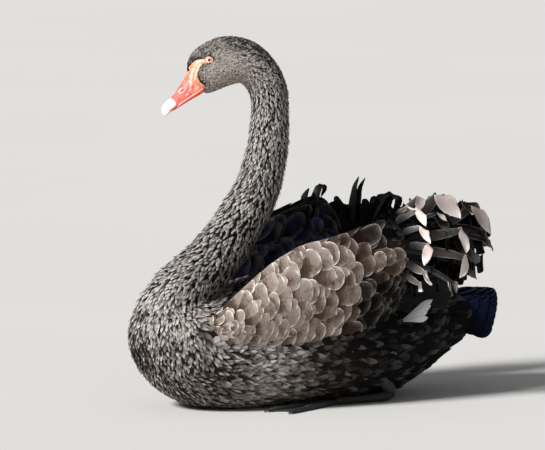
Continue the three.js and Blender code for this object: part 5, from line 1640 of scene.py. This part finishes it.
def eye_axis(side, trees):
    """The middle of an eye on the head's side, and the way it looks."""
    forward, height = np.array([EYE["forward"] * MM]), np.array([EYE["height"] * MM])
    place, normal = cast_at_head(forward, height, side, trees)
    outer = unit(unit(out_of_head(forward, height, side)[0]) + 0.9 * unit(normal[0]))
    return place[0] + outer * 0.8 * MM, outer


def eye_basis(outer):
    """Rows that take local x, y and z to forward, up and outward at an eye."""
    up = unit(np.array([0, 0, 1.0]) - outer * outer[2])
    return np.stack([np.cross(up, outer), up, outer])


class SWAN_OT_eyes(bpy.types.Operator):
    """Sets the eyeballs, with a cornea that stands a little proud"""
    bl_idname = "swan.eyes"
    bl_label = "Eyes"

    def execute(self, context):
        material = eye_material(context.scene.swan_colours)
        for side in SIDES:
            centre, outer = eye_axis(side, [LAID_ON["skin"].tree])
            deselect_all()
            bpy.ops.mesh.primitive_uv_sphere_add(segments=48, ring_count=40, radius=EYE["radius"] * MM)
            piece = context.active_object
            piece.name = piece.data.name = f"eye_ball_{side}"
            places = mesh_places(piece)[0]
            off = np.degrees(np.arccos(np.clip(places[:, 2] / (EYE["radius"] * MM), -1, 1)))
            cornea = EYE["cornea"] * MM * np.clip(1 - (off / 30) ** 2, 0, 1)
            places = places * (1 + cornea / (EYE["radius"] * MM))[:, None]
            middle = centre + outer * (EYE["proud"] - EYE["radius"] - EYE["cornea"]) * MM
            placed(piece, middle + places @ eye_basis(outer))
            painted(piece, off_axis=off)
            finished(piece, material, "eye_red", f"eye_{side}")
        return {"FINISHED"}


def limb(name, points, per=6, sides=16):
    """A rounded limb through points (x, y, z, radius) in millimetres, kept above the floor."""
    rows = through_rows([(i, *point) for i, point in enumerate(points)], 1)
    values = rows(np.linspace(0, len(points) - 1, per * (len(points) - 1) + 1)) * MM
    place, radius = values[:, :3], values[:, 3]
    along = unit(np.gradient(place, axis=0))
    across = unit(np.cross(along, [0, 0.02, 1]))
    up = np.cross(across, along)
    turn = np.linspace(0, 2 * np.pi, sides + 1)[:-1, None]
    rings = across[:, None] * np.cos(turn) + up[:, None] * np.sin(turn)
    rings = place[:, None] + radius[:, None, None] * rings
    rings[..., 2] = np.maximum(rings[..., 2], LIMB_FLOOR)
    return drawn_out(name, rings)


class SWAN_OT_feet(bpy.types.Operator):
    """Draws out the legs, the webbed toes and the claws, tucked under beside the keel"""
    bl_idname = "swan.feet"
    bl_label = "Legs and feet"

    def execute(self, context):
        scaly, horn = leg_material(), claw_material()
        for side, sign in SIDES.items():
            y = sign * FOOT["y"]
            leg = limb(f"shin_{side}", [(x, y + sign * dy, z, r) for x, dy, z, r in LEG])
            finished(leg, scaly, "foot_black", f"leg_{side}")
            toes, claws, lines = [], [], []
            for length, angle in FOOT["toes"]:
                heading = math.radians(angle - FOOT["splay"])
                way = np.array([-math.cos(heading), -sign * math.sin(heading)])
                base = np.array([FOOT["ankle"], y])
                tip = base + way * length
                steps = [(-4, 0.85), (8, 0.95), *((length * share, radius) for share, radius in TOE)]
                thick = FOOT["thick"]
                toes.append(limb("toe", [(*(base + way * s), thick * r, thick * r) for s, r in steps], 5))
                claws.append(limb("claw", [(*(tip + way * s), z, r) for s, z, r in CLAW], 5, 12))
                lines.append((base, tip))
            webs = [self.web(pair) for pair in zip(lines, lines[1:])]
            finished(joined(f"toes_{side}", toes + webs), scaly, "foot_black", f"foot_{side}", angle=50)
            finished(joined(f"claws_{side}", claws), horn, "foot_black")
        return {"FINISHED"}

    def web(self, pair):
        """The skin between two toes, hollow along its free edge and lightly pleated."""
        (a0, a1), (b0, b1) = pair
        deselect_all()
        long, wide = 30, 20
        bpy.ops.mesh.primitive_grid_add(x_subdivisions=long - 1, y_subdivisions=wide - 1, size=1)
        piece = bpy.context.active_object
        flat = mesh_places(piece)[0]
        u, v = flat[:, :1] + 0.5, flat[:, 1:2] + 0.5
        hollow = 1 - 0.1 * np.sin(np.pi * v)
        u = 0.04 + 0.93 * u * hollow
        line = mixed(mixed(a0, a1, u), mixed(b0, b1, u), v)
        height = 2.6 + 0.35 * np.sin(v * 34) * u - 0.7 * np.sin(np.pi * v)
        placed(piece, np.hstack([line, height]) * MM)
        return modified(piece, "SOLIDIFY", thickness=1.4 * MM, offset=0.0)


class SWAN_OT_stage(bpy.types.Operator):
    """Sets the floor, the soft lights and the camera"""
    bl_idname = "swan.stage"
    bl_label = "Stage"

    def execute(self, context):
        deselect_all()
        bpy.ops.mesh.primitive_plane_add(size=40)
        floor = context.active_object
        floor.name = floor.data.name = "studio_floor"
        floor.data.materials.append(floor_material())
        world = bpy.data.worlds.new("Studio")
        world.use_nodes = True
        sky = world.node_tree.nodes["Background"].inputs
        sky["Color"].default_value = linear("#e9ebee")
        sky["Strength"].default_value = SKY_STRENGTH
        context.scene.world = world
        right, up, back = camera_axes()
        light = bpy.data.lights.new("key", "SUN")
        light.energy, light.angle = SUN["strength"], math.radians(SUN["angle"])
        lamp = bpy.data.objects.new("key", light)
        lamp.location = right * SUN["right"] + back * SUN["back"] + Vector((0, 0, SUN["up"]))
        lamp.rotation_euler = lamp.location.to_track_quat("Z", "Y").to_euler()
        context.scene.collection.objects.link(lamp)
        centre = right * (PICTURE_CENTRE[0] * MM) + up * (PICTURE_CENTRE[1] * MM)
        camera = bpy.data.objects.new("camera", bpy.data.cameras.new("camera"))
        camera.data.lens = camera.data.sensor_width * CAMERA_DISTANCE / FRAME_WIDTH
        camera.data.clip_end = 100
        camera.matrix_world = Matrix.Translation(centre + back * CAMERA_DISTANCE) @ Matrix(
            (right, up, back)).transposed().to_4x4()
        context.scene.collection.objects.link(camera)
        context.scene.camera = camera
        context.scene.view_settings.view_transform = "Standard"
        return {"FINISHED"}


def camera_axes():
    """The camera's right, up and backward directions."""
    right = Vector((math.cos(HEADING), -math.sin(HEADING), 0))
    back = Vector((-math.sin(HEADING) * math.cos(CLIMB), -math.cos(HEADING) * math.cos(CLIMB),
                   math.sin(CLIMB)))
    return right, back.cross(right), back


# The order in which the pieces are made. The face needs the skin and the bill.
STEPS = [SWAN_OT_skin, SWAN_OT_coat, SWAN_OT_bill, SWAN_OT_face, SWAN_OT_eyes, SWAN_OT_wings,
         SWAN_OT_ruff, SWAN_OT_flight, SWAN_OT_tail, SWAN_OT_feet, SWAN_OT_stage]


class SWAN_PT_panel(bpy.types.Panel):
    """Lists the swan's pieces in the order in which they are made"""
    bl_label = "Black swan"
    bl_idname = "SWAN_PT_panel"
    bl_space_type = "VIEW_3D"
    bl_region_type = "UI"
    bl_category = "Swan"

    def draw(self, context):
        for group in (context.scene.swan_sizes, context.scene.swan_colours):
            for name in group.bl_rna.properties.keys():
                if name not in ("rna_type", "name"):
                    self.layout.prop(group, name)
        for step in STEPS:
            self.layout.operator(step.bl_idname)


CLASSES = [SwanSizes, SwanColours, *STEPS, SWAN_PT_panel]


def register():
    for cls in CLASSES:
        bpy.utils.register_class(cls)
    bpy.types.Scene.swan_sizes = PointerProperty(type=SwanSizes)
    bpy.types.Scene.swan_colours = PointerProperty(type=SwanColours)


def unregister():
    del bpy.types.Scene.swan_sizes
    del bpy.types.Scene.swan_colours
    for cls in reversed(CLASSES):
        bpy.utils.unregister_class(cls)


def main():
    register()
    for step in STEPS:
        group, name = step.bl_idname.split(".")
        getattr(getattr(bpy.ops, group), name)()


if __name__ == "__main__":
    main()
